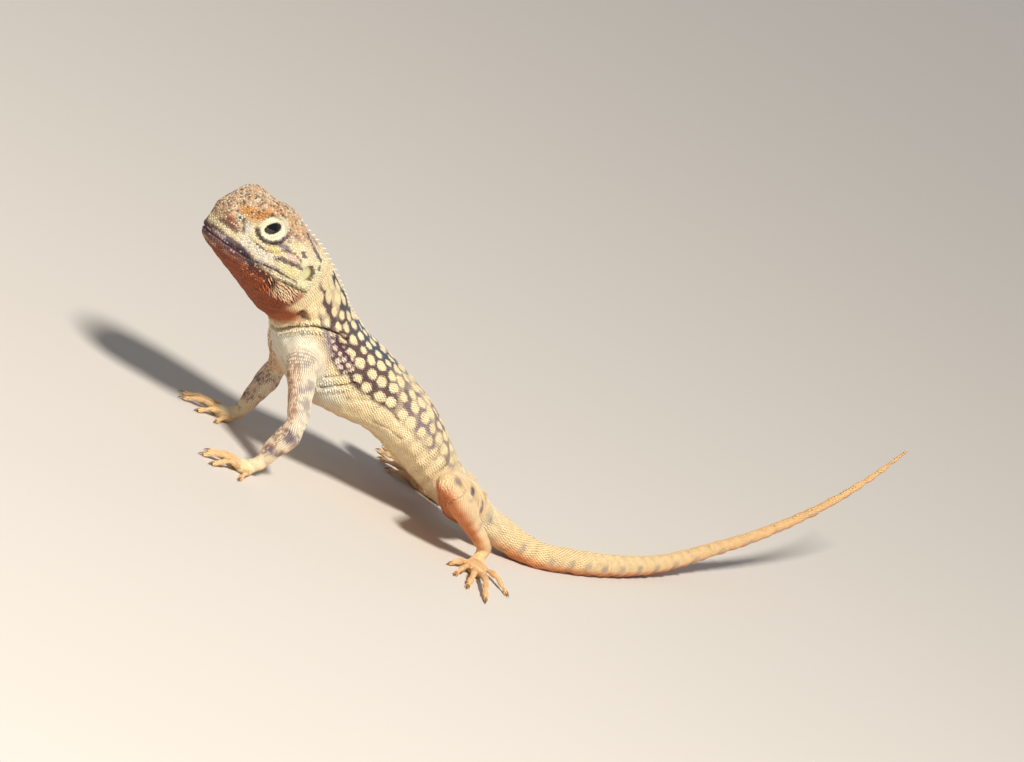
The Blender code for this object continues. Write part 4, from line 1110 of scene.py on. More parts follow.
def paint_limb(points, part, reach, facing):
    """Return the colours of places on a limb, from how far along it they lie and where they face."""
    fore = part == FORE_PART
    colour = np.tile(shade(FORE_CREAM), (len(points), 1))
    colour[~fore] = shade(HIND_CREAM)
    mottle = drift(points, 1.1, 6.0)
    blotch = drift(points, 3.2, 4.0)
    outer = climb(-0.2, 0.4, facing[:, 2] + 0.6 * np.abs(facing[:, 1]))
    for middle, half, strength in FORE_BANDS:
        band = np.exp(-((reach - middle - 0.05 * (blotch - 0.5)) / half) ** 4) * outer
        colour = blend(colour, FORE_BAR,
                       fore * strength * band * climb(0.3, 0.62, mottle * 0.5 + blotch * 0.5))
    for middle, half in HIND_BANDS:
        band = np.exp(-((reach - middle - 0.03 * (blotch - 0.5)) / half) ** 4)
        band *= climb(0.0, 0.5, facing[:, 2])
        colour = blend(colour, HIND_BAR, ~fore * 0.4 * band * climb(0.3, 0.7, blotch))
    # the limbs' undersides are painted orange: painted reflected light in their shade
    under = climb(0.25, -0.6, facing[:, 2])
    # the front and lower edge of the fore limbs is painted light brown as painted shade
    front = climb(0.35, 0.95, -facing[:, 0] - 0.35 * facing[:, 2])
    front *= climb(0.0, 0.15, reach)
    front *= fall(0.85, 1.0, reach)
    colour = blend(colour, FORE_UNDER_REFLECTED_LIGHT, fore * 0.6 * under * climb(0.05, 0.3, reach))
    colour = blend(colour, FORE_FRONT_SHADE, fore * 0.6 * front)
    colour = blend(colour, HIND_UNDER_REFLECTED_LIGHT, ~fore * 0.85 * under * fall(0.9, 1.2, reach))
    colour = blend(colour, HAND_CREAM, fore * climb(0.86, 1.1, reach) * 0.85)
    colour = blend(colour, FOOT_TAN, ~fore * climb(0.82, 1.05, reach) * 0.85)
    colour = blend(colour, DIGIT_TAN, climb(1.25, 1.5, reach) * 0.85)
    for spots, flag in ((FORE_SPOTS, fore), (HIND_SPOTS, ~fore)):
        for x, y, z, size, strength in spots:
            far_x = x + (1.7 if spots is HIND_SPOTS else 4.4)
            far_y = 24.4 - y + (0.0 if z < 14.0 else -1.5)
            for place in ((x, y, z), (far_x, far_y, z)):
                away = np.linalg.norm(points - np.array(place), axis=1) + 0.7 * (mottle - 0.5)
                colour = blend(colour, BLOT,
                               flag * strength * fall(size * 0.6, size * 1.3, away))
    return colour


def paint(points, part, along, angle, reach, facing):
    """Return the colours of any places on the animal."""
    colour = np.zeros((len(points), 3))
    trunk = part == BODY_PART
    colour[trunk] = paint_head(paint_trunk(points[trunk], along[trunk], angle[trunk]), points[trunk],
                               along[trunk])
    colour[~trunk] = paint_limb(points[~trunk], part[~trunk], reach[~trunk], facing[~trunk])
    return np.clip(colour, 0.0, 1.0)


def add_colours(mesh, colours):
    """Store one colour for each corner of a mesh."""
    layer = mesh.color_attributes.new("painted_colour", "FLOAT_COLOR", "POINT")
    values = np.ones((len(colours), 4), dtype=np.float32)
    values[:, :3] = colours
    layer.data.foreach_set("color", values.ravel())


skin_paint = paint(hide, hide_part, np.clip(hide_distance, 0.0, BODY.length), hide_angle, reach_at,
                   relax(normals, 14, 0.7))
skin_paint = blend(skin_paint, CREASE, 0.85 * crease_shade)
# where a limb joins the trunk the two sets of colours run into each other
joint_colour = relax(skin_paint, 6, 0.6)
joint_colour += (relax(skin_paint, 60, 0.7) - joint_colour) * root_joint
skin_paint += (joint_colour - skin_paint) * np.maximum(joint, root_joint)
SKIN_DARKER = 0.62
JAW_DARKER = 0.3
JOINT_DARKER = 0.9
back_at, left_at, height_at = head_lengths(hide)
jaw_zone = np.exp(-((back_at - 15.4) / 3.4) ** 6 - ((height_at + 2.6) / 1.5) ** 6) * on_trunk
darker = (SKIN_DARKER - (SKIN_DARKER - JAW_DARKER) * jaw_zone)[:, None]
add_colours(hide_mesh, skin_paint * (darker + (JOINT_DARKER - darker) * joint))


def add_math(nodes, links, operation, *inputs):
    """Add one sum, its inputs either numbers or other nodes' outputs, and return its output."""
    node = nodes.new("ShaderNodeMath")
    node.operation = operation
    for place, value in enumerate(inputs):
        if isinstance(value, float):
            node.inputs[place].default_value = value
        else:
            links.new(value, node.inputs[place])
    return node.outputs[0]


def hide_group():
    """Build the group that varies a painted colour, with its roughness and relief, over the hide."""
    group = bpy.data.node_groups.new("hide_grain", "ShaderNodeTree")
    for name, kind, value in (("Painted Colour", "NodeSocketColor", (0.8, 0.7, 0.5, 1.0)),
                              ("Grain Scale", "NodeSocketFloat", 9000.0),
                              ("Tone", "NodeSocketFloat", 0.16), ("Dry", "NodeSocketFloat", 0.52)):
        socket = group.interface.new_socket(name=name, in_out="INPUT", socket_type=kind)
        socket.default_value = value
    for name, kind in (("Color", "NodeSocketColor"), ("Roughness", "NodeSocketFloat"),
                       ("Height", "NodeSocketFloat")):
        group.interface.new_socket(name=name, in_out="OUTPUT", socket_type=kind)
    nodes, links = group.nodes, group.links
    given = nodes.new("NodeGroupInput")
    result = nodes.new("NodeGroupOutput")
    spot = nodes.new("ShaderNodeTexCoord")
    grain = nodes.new("ShaderNodeTexNoise")
    grain.inputs["Detail"].default_value = 3.0
    broad = nodes.new("ShaderNodeTexNoise")
    broad.inputs["Scale"].default_value = 900.0
    broad.inputs["Detail"].default_value = 2.0
    links.new(spot.outputs["Object"], grain.inputs["Vector"])
    links.new(spot.outputs["Object"], broad.inputs["Vector"])
    links.new(given.outputs["Grain Scale"], grain.inputs["Scale"])
    mixed_noise = add_math(nodes, links, "ADD", grain.outputs["Fac"], broad.outputs["Fac"])
    centred = add_math(nodes, links, "SUBTRACT", mixed_noise, 1.0)
    amount = add_math(nodes, links, "MULTIPLY_ADD", centred, given.outputs["Tone"], 1.0)
    toned = nodes.new("ShaderNodeVectorMath")
    toned.operation = "SCALE"
    links.new(given.outputs["Painted Colour"], toned.inputs[0])
    links.new(amount, toned.inputs["Scale"])
    links.new(toned.outputs[0], result.inputs["Color"])
    rough = add_math(nodes, links, "MULTIPLY_ADD", centred, 0.16, given.outputs["Dry"])
    links.new(rough, result.inputs["Roughness"])
    links.new(mixed_noise, result.inputs["Height"])
    return group


grain_group = hide_group()


def hide_material(name, grain_scale, tone, dry, bump_height):
    """Return a material that takes its colour from the colours stored on the mesh: markings, and in places
    painted light.
    """
    material, nodes, links, surface_shader = new_finish(name)
    painted_colour = nodes.new("ShaderNodeAttribute")
    painted_colour.attribute_name = "painted_colour"
    grain = nodes.new("ShaderNodeGroup")
    grain.node_tree = grain_group
    grain.inputs["Grain Scale"].default_value = grain_scale
    grain.inputs["Tone"].default_value = tone
    grain.inputs["Dry"].default_value = dry
    links.new(painted_colour.outputs["Color"], grain.inputs["Painted Colour"])
    links.new(grain.outputs["Color"], surface_shader.inputs["Base Color"])
    links.new(grain.outputs["Roughness"], surface_shader.inputs["Roughness"])
    relief = nodes.new("ShaderNodeBump")
    relief.inputs["Strength"].default_value = 0.5
    relief.inputs["Distance"].default_value = bump_height
    links.new(grain.outputs["Height"], relief.inputs["Height"])
    links.new(relief.outputs["Normal"], surface_shader.inputs["Normal"])
    surface_shader.inputs["Specular IOR Level"].default_value = 0.4
    return material


skin_finish = hide_material("skin_finish", 7000.0, 0.25, 0.62, 0.00006)
hide_mesh.materials.append(skin_finish)


def add_piece(name, mesh):
    """Put a finished mesh in the scene as a piece of the animal."""
    piece = put_in_scene(name, mesh)
    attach(piece, "root")
    return piece


skin = add_piece("skin", hide_mesh)
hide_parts("head", "neck", "torso", "tail_base", "tail_middle", "tail_end",
            "upper_arm_left", "forearm_left", "hand_left", "upper_arm_right", "forearm_right", "hand_right",
            "thigh_left", "shin_left", "foot_left", "thigh_right", "shin_right", "foot_right")

# Small keeled scales cover neck, back, sides, limbs and tail in staggered rows, each rooted in the
# hide and lapping over the next one towards the tail or the toes.
PATCH = 0.0015
# across, along and out of the hide, for a scale of width and length one; the last point is sunk
KEELED = np.array(((-0.36, -0.05, -0.1), (0.36, -0.05, -0.1), (-0.5, 0.42, 0.0), (0.5, 0.42, 0.0),
                   (-0.31, 0.8, 0.06), (0.31, 0.8, 0.06), (0.0, 1.12, 0.13), (0.0, -0.05, 0.0),
                   (0.0, 0.45, 0.17), (0.0, 0.9, 0.17), (0.0, 0.35, -0.25)))
KEELED_FACES = np.array(((0, 8, 2), (0, 7, 8), (2, 8, 9), (2, 9, 4), (4, 9, 6), (1, 3, 8), (1, 8, 7),
                         (3, 9, 8), (3, 5, 9), (5, 6, 9), (1, 7, 10), (3, 1, 10), (5, 3, 10),
                         (6, 5, 10), (4, 6, 10), (2, 4, 10), (0, 2, 10), (7, 0, 10)))
SMOOTH = KEELED.copy()
SMOOTH[8, 2], SMOOTH[9, 2], SMOOTH[6, 2] = 0.07, 0.1, 0.09
KEELED_SHAPE = (KEELED, KEELED_FACES)
SMOOTH_SHAPE = (SMOOTH, KEELED_FACES)
face_corners = np.array([(*polygon.vertices, polygon.vertices[0])[:4] for polygon in hide_mesh.polygons])
bare = np.zeros(len(hide), dtype=bool)
back_at, left_at, height_at = head_lengths(hide)
for opening in (NOSTRIL, EAR):
    ring = opening_ring(back_at, height_at, opening)
    bare |= (ring < 1.0) & (np.abs(left_at) > OPENING_SIDE) & (back_at < OPENING_BACK) & on_trunk
for side in (1.0, -1.0):
    bare |= lid_ring(hide, side)[1] < 1.0


def tube_places(points, tube, distance):
    """Return how far along a length places lie, and their angle round it."""
    run = tube["run"]
    distance = np.clip(distance, 0.0, run.length)
    for _ in range(3):
        heading = run.heading(distance)
        step = np.sum((points - run.at(distance)[:, :3]) * heading, axis=1)
        distance = np.clip(distance + step * 0.8, 0.0, run.length)
    heading = run.heading(distance)
    across = tube_across(tube, heading)
    away = points - run.at(distance)[:, :3]
    return distance, np.arctan2(np.sum(away * np.cross(across, heading), axis=1) / tube["flat"],
                                np.sum(away * across, axis=1))


def settle(points, lies, reach, pass_bare=True):
    """Drop places onto the skin, and return spots, normals, lie directions, faces and which hold."""
    spots = np.zeros((len(points), 3))
    faces_hit = np.zeros(len(points), dtype=int)
    hold = np.zeros(len(points), dtype=bool)
    for number, point in enumerate(points):
        spot, _, face, away = skin_tree.find_nearest(tuple(point), reach)
        if spot is not None:
            spots[number] = spot
            faces_hit[number] = face
            hold[number] = True
    corner = face_corners[faces_hit]
    if pass_bare:
        hold &= ~np.any(bare[corner], axis=1)
    normal = unit(normals[corner].mean(axis=1))
    lie = lies - normal * np.sum(lies * normal, axis=1)[:, None]
    hold &= np.linalg.norm(lie, axis=1) > 0.25
    return spots, normal, unit(lie), faces_hit, hold


root_sets = []


def keep_roots(points, lies, width, length, part, reach=1.0):
    """Keep the scales of one region for laying, with their sizes."""
    spots, normal, lie, faces_hit, hold = settle(points, lies, reach)
    hold &= hide_part[face_corners[faces_hit][:, 0]] == part
    root_sets.append([spots[hold], normal[hold], lie[hold], faces_hit[hold], np.asarray(width)[hold],
                      np.asarray(length)[hold]])


# trunk and tail, ring by ring, each ring beginning on the midline of the back
HEAD_END = 20.6
along = HEAD_END
row = 0
RING_POINTS = 97
ring_along, ring_turn, ring_gap = [], [], []
circle = np.linspace(0.0, 2.0 * math.pi, RING_POINTS) + math.pi / 2.0
while along < BODY.length - 0.2:
    ring, _ = body_surface(np.full(RING_POINTS, along), circle)
    lengths = lengths_along(ring)
    size = np.interp(along, (20.0, 45.0, 90.0, 130.0, 200.0, 227.0), (0.4, 0.46, 0.5, 0.5, 0.42, 0.3))
    count = max(int(round(lengths[-1] / size / 2.0)) * 2, 6)
    spots = (np.arange(count) + 0.5 * (row % 2)) / count * lengths[-1]
    ring_turn.append(np.interp(spots, lengths, circle))
    ring_along.append(np.full(count, along) + 0.06 * (rng.random(count) - 0.5))
    ring_gap.append(np.full(count, lengths[-1] / count))
    along += size * 0.93 * (1.0 if along < 90.0 else 1.25)
    row += 1
ring_along, ring_turn, ring_gap = (np.concatenate(values) for values in (ring_along, ring_turn, ring_gap))
points, lies = body_surface(ring_along, ring_turn)
stretch = np.where(ring_along > 92.0, 1.95, 1.5)
keep_roots(points, lies, ring_gap * 1.08, ring_gap * stretch, BODY_PART)

# limbs, palms, soles and digits, ring by ring
for tube in tubes:
    run = tube["run"]
    digit = tube["reach"][0] > DIGIT_REACH
    size = 0.33 if digit else (0.36 if tube["reach"][0] > 0.9 else 0.44)
    along, row = 0.0, 0
    tube_along, tube_turn, tube_gap = [], [], []
    while along < run.length + run.rows[-1, 3] * (0.55 if digit else 0.0):
        radius = run.at(along)[0, 3]
        count = max(int(round(2.0 * math.pi * radius * (0.5 + 0.5 * tube["flat"]) / size / 2.0)) * 2, 6)
        tube_turn.append((np.arange(count) + 0.5 * (row % 2)) / count * 2.0 * math.pi + 0.3)
        tube_along.append(np.full(count, along))
        tube_gap.append(np.full(count, 2.0 * math.pi * radius * (0.5 + 0.5 * tube["flat"]) / count))
        along += size * (1.15 if digit else 0.95)
        row += 1
    tube_along, tube_turn, tube_gap = (np.concatenate(values)
                                       for values in (tube_along, tube_turn, tube_gap))
    points, lies = tube_surface(tube, tube_along, tube_turn)
    keep_roots(points, lies, tube_gap * 1.08, np.full(len(tube_gap), size * 1.6), tube["part"], 0.7)


def thin_out(points, gap):
    """Return which places stay when any closer than the gap to an earlier one are left out."""
    grid, stay = {}, np.zeros(len(points), dtype=bool)
    gaps = np.broadcast_to(gap, (len(points),))
    cell_size = float(np.max(gaps))
    cell = np.floor(points / cell_size).astype(int)
    steps = [(i, j, k) for i in (-1, 0, 1) for j in (-1, 0, 1) for k in (-1, 0, 1)]
    for number in range(len(points)):
        x, y, z = cell[number]
        point, limit = points[number], gaps[number] ** 2
        crowded = False
        for i, j, k in steps:
            for other in grid.get((x + i, y + j, z + k), ()):
                ahead, aside, above = point[0] - other[0], point[1] - other[1], point[2] - other[2]
                if ahead ** 2 + aside ** 2 + above ** 2 < limit:
                    crowded = True
                    break
            if crowded:
                break
        if not crowded:
            stay[number] = True
            grid.setdefault((x, y, z), []).append(point)
    return stay


roots, root_normal, root_lie, root_face, root_width, root_length = (
    np.concatenate([kept[place] for kept in root_sets]) for place in range(6))
stay = thin_out(roots, root_width * 0.62)
roots, root_normal, root_lie, root_face, root_width, root_length = (
    values[stay] for values in (roots, root_normal, root_lie, root_face, root_width, root_length))

# round a bend the scales turn with the limb, and where a limb leaves the trunk they are shorter
for first in range(0, len(tubes), TUBES_PER_LIMB):
    for upper, lower in ((tubes[first], tubes[first + 1]), (tubes[first + 1], tubes[first + 2])):
        bend = upper["run"].rows[-1]
        onward = unit(upper["run"].heading(upper["run"].length)[0] + lower["run"].heading(0.0)[0])
        near = np.exp(-(np.linalg.norm(roots - bend[:3], axis=1) / (bend[3] * 1.35)) ** 4)[:, None]
        root_lie = root_lie * (1.0 - near) + onward * near
root_lie = unit(root_lie - root_normal * np.sum(root_lie * root_normal, axis=1)[:, None])
root_length = root_length * (1.0 - 0.4 * root_joint[face_corners[root_face][:, 0], 0])

# bare places between the scales' middles are filled, each new scale lying as its neighbour does
seeker = seeker_of(roots + root_lie * (root_length * 0.45)[:, None])
open_skin = np.where(((hide_distance > HEAD_END) | ~on_trunk) & ~bare)[0]
found = [seeker.find(point)[1:] for point in hide[open_skin]]
neighbour = np.array([number for number, _ in found])
gap_to = np.array([away for _, away in found])
lonely = gap_to > root_width[neighbour] * 0.85
open_skin, neighbour = open_skin[lonely], neighbour[lonely]
stay = thin_out(hide[open_skin], root_width[neighbour] * 0.8)
open_skin, neighbour = open_skin[stay], neighbour[stay]
spots, normal, lie, faces_hit, hold = settle(hide[open_skin], root_lie[neighbour], 0.6)
roots, root_normal, root_lie, root_face, root_width, root_length = (
    np.concatenate((kept, added[hold]))
    for kept, added in ((roots, spots), (root_normal, normal), (root_lie, lie), (root_face, faces_hit),
                        (root_width, root_width[neighbour]), (root_length, root_length[neighbour])))


def root_facts(spots, faces_hit):
    """Return the part, length, distance and angle of each root, measured anew."""
    corner = face_corners[faces_hit][:, 0]
    part, tube_number = hide_part[corner], hide_tube[corner].astype(int)
    distance, angle = hide_distance[corner].copy(), hide_angle[corner].copy()
    for number, tube in enumerate(tubes):
        chosen = tube_number == number
        if np.any(chosen):
            distance[chosen], angle[chosen] = tube_places(spots[chosen], tube, distance[chosen])
    trunk = tube_number < 0
    if np.any(trunk):
        distance[trunk], angle[trunk] = body_places(spots[trunk],
                                                    np.clip(distance[trunk], 0.0, BODY.length))
    return part, tube_number, distance, angle


def patches_on_trunk(distance, angle):
    """Return each root's place on the unrolled trunk, stretched to fill the sheet."""
    low, high = distance.min(), distance.max() + 1e-6
    return np.stack((0.01 + 0.98 * (distance - low) / (high - low),
                     0.01 + 0.98 * (angle / (2.0 * math.pi) + 0.5)), axis=1)


def patches_on_limb(tube_number, distance, angle):
    """Return each root's place on the unrolled lengths of a limb, laid side by side."""
    order = np.unique(tube_number)
    column = np.searchsorted(order, tube_number)
    runs = np.array([tubes[number]["run"].length if number >= 0 else BODY.length
                     for number in range(len(tubes))])
    share = np.clip(distance / runs[np.maximum(tube_number, 0)], 0.0, 1.0)
    turn = angle / (2.0 * math.pi) + 0.5
    return np.stack((0.01 + 0.98 * (column + 0.03 + 0.94 * turn) / len(order), 0.01 + 0.98 * share), axis=1)


def lay(name, shape, spots, normal, lie, sizes, colours, patches, lift=0.0):
    """Make one joined piece of small closed scales."""
    template, faces_of = shape
    across = np.cross(lie, normal)
    points = (spots[:, None] + across[:, None] * (template[None, :, 0] * sizes[:, None, 0])[..., None]
              + lie[:, None] * (template[None, :, 1] * sizes[:, None, 1])[..., None]
              + normal[:, None] * ((template[None, :, 2] + lift * np.maximum(template[None, :, 1], 0.0))
                                   * sizes[:, None, 2])[..., None])
    count, corners_each = len(spots), len(template)
    triangles = (faces_of[None] + (np.arange(count) * corners_each)[:, None, None]).reshape(-1)
    mesh = bpy.data.meshes.new(name)
    mesh.vertices.add(count * corners_each)
    model_points = to_model(points.reshape(-1, 3))
    model_points[:, 2] = np.maximum(model_points[:, 2], 0.0)
    mesh.vertices.foreach_set("co", model_points.ravel())
    mesh.loops.add(len(triangles))
    mesh.loops.foreach_set("vertex_index", triangles)
    mesh.polygons.add(len(triangles) // 3)
    mesh.polygons.foreach_set("loop_start", np.arange(0, len(triangles), 3))
    mesh.polygons.foreach_set("loop_total", np.full(len(triangles) // 3, 3))
    mesh.update(calc_edges=True)
    # each scale is painted darker at its root and sunk point and lighter towards its tip and keel: painted
    # shade between the rows
    scale_shade_factor = 0.74 + 0.3 * np.clip(template[:, 1], 0.0, 1.0) + 0.4 * np.clip(template[:, 2], 0.0, 0.2)
    scale_shade_factor = np.where(template[:, 2] < -0.02, 0.55, scale_shade_factor)
    colours = colours[:, None] if colours.ndim == 2 else colours
    add_colours(mesh, np.clip(colours * scale_shade_factor[None, :, None], 0.0, 1.0).reshape(-1, 3))
    sheet = mesh.uv_layers.new(name="OFBake")
    local = template[:, :2] - template[:, :2].min(axis=0)
    local = local / local.max(axis=0) * 2.0 * PATCH - PATCH
    places = (np.clip(patches, 0.004, 0.996)[:, None] + local[None]).reshape(-1, 2)
    sheet.data.foreach_set("uv", places[triangles].ravel())
    mesh.materials.append(scale_finish)
    add_piece(name, mesh)


def jitter(colours, spread):
    """Vary colours a little from scale to scale, in lightness and warmth."""
    light = 1.0 + spread * (rng.random((len(colours), 1)) - 0.5) * 2.0
    warm = 1.0 + 0.35 * spread * (rng.random((len(colours), 1)) - 0.5) * np.array((1.0, 0.0, -1.5))
    return np.clip(colours * light * warm, 0.0, 1.0)


# each scale takes the skin's colours, painted light included, at its left, its right and its tip
scale_finish = hide_material("scale_finish", 12000.0, 0.18, 0.5, 0.00003)
part, tube_number, distance, angle = root_facts(roots, root_face)
skin_seeker = seeker_of(hide)
root_across = np.cross(root_lie, root_normal)
samples = []
for aside, ahead in ((-0.3, 0.45), (0.3, 0.45), (0.0, 0.9)):
    spots = roots + root_across * (root_width * aside)[:, None] + root_lie * (root_length * ahead)[:, None]
    samples.append(skin_paint[[skin_seeker.find(spot)[1] for spot in spots]])
left_tone, right_tone, tip_tone = samples
middle_tone = (left_tone + right_tone) * 0.5
light = jitter(np.ones((len(roots), 3)), 0.09)
colours = np.stack([{"l": left_tone, "r": right_tone, "t": tip_tone, "m": middle_tone}[key] * light
                    for key in "lrlrlrtmmtm"], axis=1)
# the front edge of upper arm and forearm has pale beads and brown scales; the brown is painted shade
beaded = climb(0.25, 0.8, -root_normal[:, 0] - 0.35 * root_normal[:, 2])
beaded *= (part == FORE_PART) & (tube_number % TUBES_PER_LIMB < 2)
cast = rng.random(len(roots))
for low, high, tone in ((0.0, 0.4, (248, 228, 196)), (0.5, 0.8, (150, 98, 72))):
    cover = (0.5 * beaded * ((cast >= low) & (cast < high)))[:, None, None]
    colours = colours + (shade(tone) - colours) * cover
height = root_width * np.where(part == BODY_PART, 0.95 - 0.3 * climb(90.0, 100.0, distance), 0.95)
rise = np.degrees(np.arcsin(np.clip(np.sin(angle), -1.0, 1.0)))
belly = (part == BODY_PART) & (rise < -18.0) & (distance < 92.0)
sizes = np.stack((root_width, root_length, height), axis=1)
for name, low, high, slot_name in (("neck_scales", HEAD_END - 1.0, 40.0, "skin"),
                                   ("chest_scales", 40.0, 52.0, "skin"),
                                   ("back_scales", 52.0, 68.0, "skin"), ("hip_scales", 68.0, 92.0, "skin"),
                                   ("tail_scales", 92.0, 300.0, "tail_skin")):
    for suffix, shape, flag in (("", KEELED_SHAPE, ~belly), ("_belly", SMOOTH_SHAPE, belly)):
        chosen = (part == BODY_PART) & (distance >= low) & (distance < high) & flag
        if np.sum(chosen) > 3:
            lay(name + suffix, shape, roots[chosen], root_normal[chosen], root_lie[chosen], sizes[chosen],
                colours[chosen], patches_on_trunk(distance[chosen], angle[chosen]))
for number, name in enumerate(("left_fore_scales", "right_fore_scales", "left_hind_scales",
                               "right_hind_scales")):
    chosen = (part != BODY_PART) & (np.maximum(tube_number, 0) // TUBES_PER_LIMB == number)
    lay(name, KEELED_SHAPE, roots[chosen], root_normal[chosen], root_lie[chosen], sizes[chosen],
        colours[chosen], patches_on_limb(tube_number[chosen], distance[chosen], angle[chosen]))

# The head's own scales are small many-sided plates that don't lap. They are coarser on the crown,
# and those at the rear of the jaw stand up in points.
turns = np.arange(6) * math.pi / 3.0
GRANULE = np.array([(0.5 * math.cos(turn), 0.5 * math.sin(turn), -0.06) for turn in turns]
                   + [(0.31 * math.cos(turn), 0.31 * math.sin(turn), 0.13) for turn in turns]
                   + [(0.0, 0.0, 0.165), (0.0, 0.0, -0.3)])
GRANULE_FACES = np.array([face for n in range(6) for face in (
    (n, (n + 1) % 6, 6 + (n + 1) % 6), (n, 6 + (n + 1) % 6, 6 + n), (6 + n, 6 + (n + 1) % 6, 12),
    ((n + 1) % 6, n, 13))])
GRANULE_SHAPE = (GRANULE, GRANULE_FACES)
mouth_gap = np.abs(height_at - np.interp(back_at, *np.array(MOUTH_LINE).T))
on_lip = (mouth_gap < 0.6) & (back_at < 16.4) & on_trunk
on_head = np.where(on_trunk & (hide_distance < HEAD_END + 0.2) & ~bare & ~on_lip)[0]
on_head = rng.permutation(on_head)
crown = climb(5.5, 7.5, height_at[on_head])
gap = 0.34 + 0.06 * crown + 0.03 * climb(6.0, 14.0, back_at[on_head])
stay = thin_out(hide[on_head], gap)
seeds, gap = on_head[stay], gap[stay]
seed_back, seed_height = back_at[seeds], height_at[seeds]
lie = np.tile(-head_forward, (len(seeds), 1)) + 0.15 * (rng.random((len(seeds), 3)) - 0.5)
lie = unit(lie - normals[seeds] * np.sum(lie * normals[seeds], axis=1)[:, None])
colours = jitter(skin_paint[seeds], 0.17)
topside = climb(5.2, 7.2, seed_height) + climb(2.6, 4.0, seed_height) * fall(3.0, 5.5, seed_back)
topside = np.clip(topside, 0.0, 1.0) * (1.0 - 0.5 * climb(11.0, 17.0, seed_back))
cast = rng.random(len(seeds))
for low, high, tone, strength in ((0.0, 0.15, (92, 78, 84), 0.8), (0.15, 0.27, (170, 120, 92), 0.6),
                                  (0.27, 0.4, (244, 228, 198), 0.7), (0.4, 0.5, (222, 158, 96), 0.55)):
    colours = blend(colours, tone, strength * topside * ((cast >= low) & (cast < high)))
lip_zone = np.exp(-((seed_back - 8.0) / 3.9) ** 6 - ((seed_height - 1.9) / 1.0) ** 6)
jaw_flecks = np.exp(-((seed_back - 11.0) / 3.4) ** 6 - ((seed_height + 1.9) / 1.2) ** 6)
cast = rng.random(len(seeds))
for low, high, tone, strength, zone in ((0.0, 0.2, (150, 136, 154), 0.65, lip_zone),
                                        (0.2, 0.3, (84, 64, 76), 0.6, lip_zone),
                                        (0.3, 0.55, (250, 244, 232), 0.7, lip_zone),
                                        (0.0, 0.25, (232, 176, 128), 0.7, jaw_flecks),
                                        (0.3, 0.5, (64, 32, 30), 0.6, jaw_flecks)):
    colours = blend(colours, tone, strength * zone * ((cast >= low) & (cast < high)))
width = gap * 1.32
sizes = np.stack((width, width * 1.05, width * (0.95 + 0.3 * rng.random(len(seeds)))), axis=1)
patches = patches_on_trunk(hide_distance[seeds], hide_angle[seeds])
pointed = (np.abs(seed_back - 15.4) < 3.6) & (np.abs(seed_height + 2.6) < 1.5)
lay("head_scales", GRANULE_SHAPE, hide[seeds][~pointed], normals[seeds][~pointed], lie[~pointed],
    sizes[~pointed], colours[~pointed], patches[~pointed])
point_sizes = sizes[pointed] * (0.62, 1.7, 1.3)
lay("jaw_scales", KEELED_SHAPE, hide[seeds][pointed], normals[seeds][pointed],
    unit(lie[pointed] - head_up * 0.5), point_sizes, np.clip(colours[pointed] * 1.15, 0.0, 1.0),
    patches[pointed], lift=0.25)

# The lids are rings of fine pale grains round the slit, and below and in front of them stands a
# fringe of small pointed scales over a dark line.
lid_spots, lid_lies, lid_sizes, fringe = [], [], [], []
for side in (1.0, -1.0):
    centre, face, long_way, short_way = lid_axes(side)
    for ring_number, share in enumerate((0.02, 0.2, 0.38, 0.56, 0.74, 0.9, 1.02)):
        half = [LID_OPENING[n] * 1.06 * (1.0 - share) + LID_OUTLINE[n] * share for n in (0, 1)]
        count = int(math.pi * (half[0] + half[1]) / 0.3)
        for number in range(count):
            turn = 2.0 * math.pi * (number + 0.5 * (ring_number % 2)) / count
            flat = long_way * half[0] * math.cos(turn) + short_way * half[1] * math.sin(turn)
            outward = math.sqrt(max(2.7 ** 2 - float(flat @ flat), 0.3))
            lid_spots.append(centre + flat + long_way * LID_SHIFT * share + face * outward)
            lid_lies.append(unit(flat))
            lid_sizes.append(0.34 if ring_number else 0.28)
            bearing = math.degrees(math.atan2(flat @ head_up, flat @ head_forward))
            fringe.append(ring_number == 6 and -125.0 < bearing < 25.0)
spots, normal, lie, faces_hit, hold = settle(np.array(lid_spots), np.array(lid_lies), 0.9, pass_bare=False)
size = np.array(lid_sizes)[hold]
spots, normal, lie, faces_hit = spots[hold], normal[hold], lie[hold], faces_hit[hold]
fringe = np.array(fringe)[hold]
colours = jitter(skin_paint[face_corners[faces_hit]].mean(axis=1), 0.07)
turn_at = np.arctan2((spots - HEAD_PLACE) @ head_up - EYE_HEIGHT,
                     (spots - HEAD_PLACE) @ head_forward - HEAD_LENGTH + EYE_BACK)
beside = (head_lengths(spots)[1] < 0.0).astype(float)
away = np.linalg.norm(np.stack(head_lengths(spots), axis=1)[:, ::2] - (EYE_BACK, EYE_HEIGHT), axis=1)
patches = np.stack((0.25 + 0.5 * beside + 0.06 * away * np.cos(turn_at),
                    0.5 + 0.12 * away * np.sin(turn_at)), axis=1)
grain = ~fringe
lay("lid_scales", GRANULE_SHAPE, spots[grain], normal[grain], lie[grain],
    np.stack((size * 1.05, size * 0.95, size), axis=1)[grain], colours[grain], patches[grain])
tooth = np.stack((size * 0.7, size * 1.5, size * 1.2), axis=1)[fringe]
tooth_colour = jitter(np.tile(shade((246, 232, 196)), (int(np.sum(fringe)), 1)), 0.08)
lay("lid_fringe", KEELED_SHAPE, spots[fringe], normal[fringe], lie[fringe], tooth, tooth_colour,
    patches[fringe], lift=0.2)

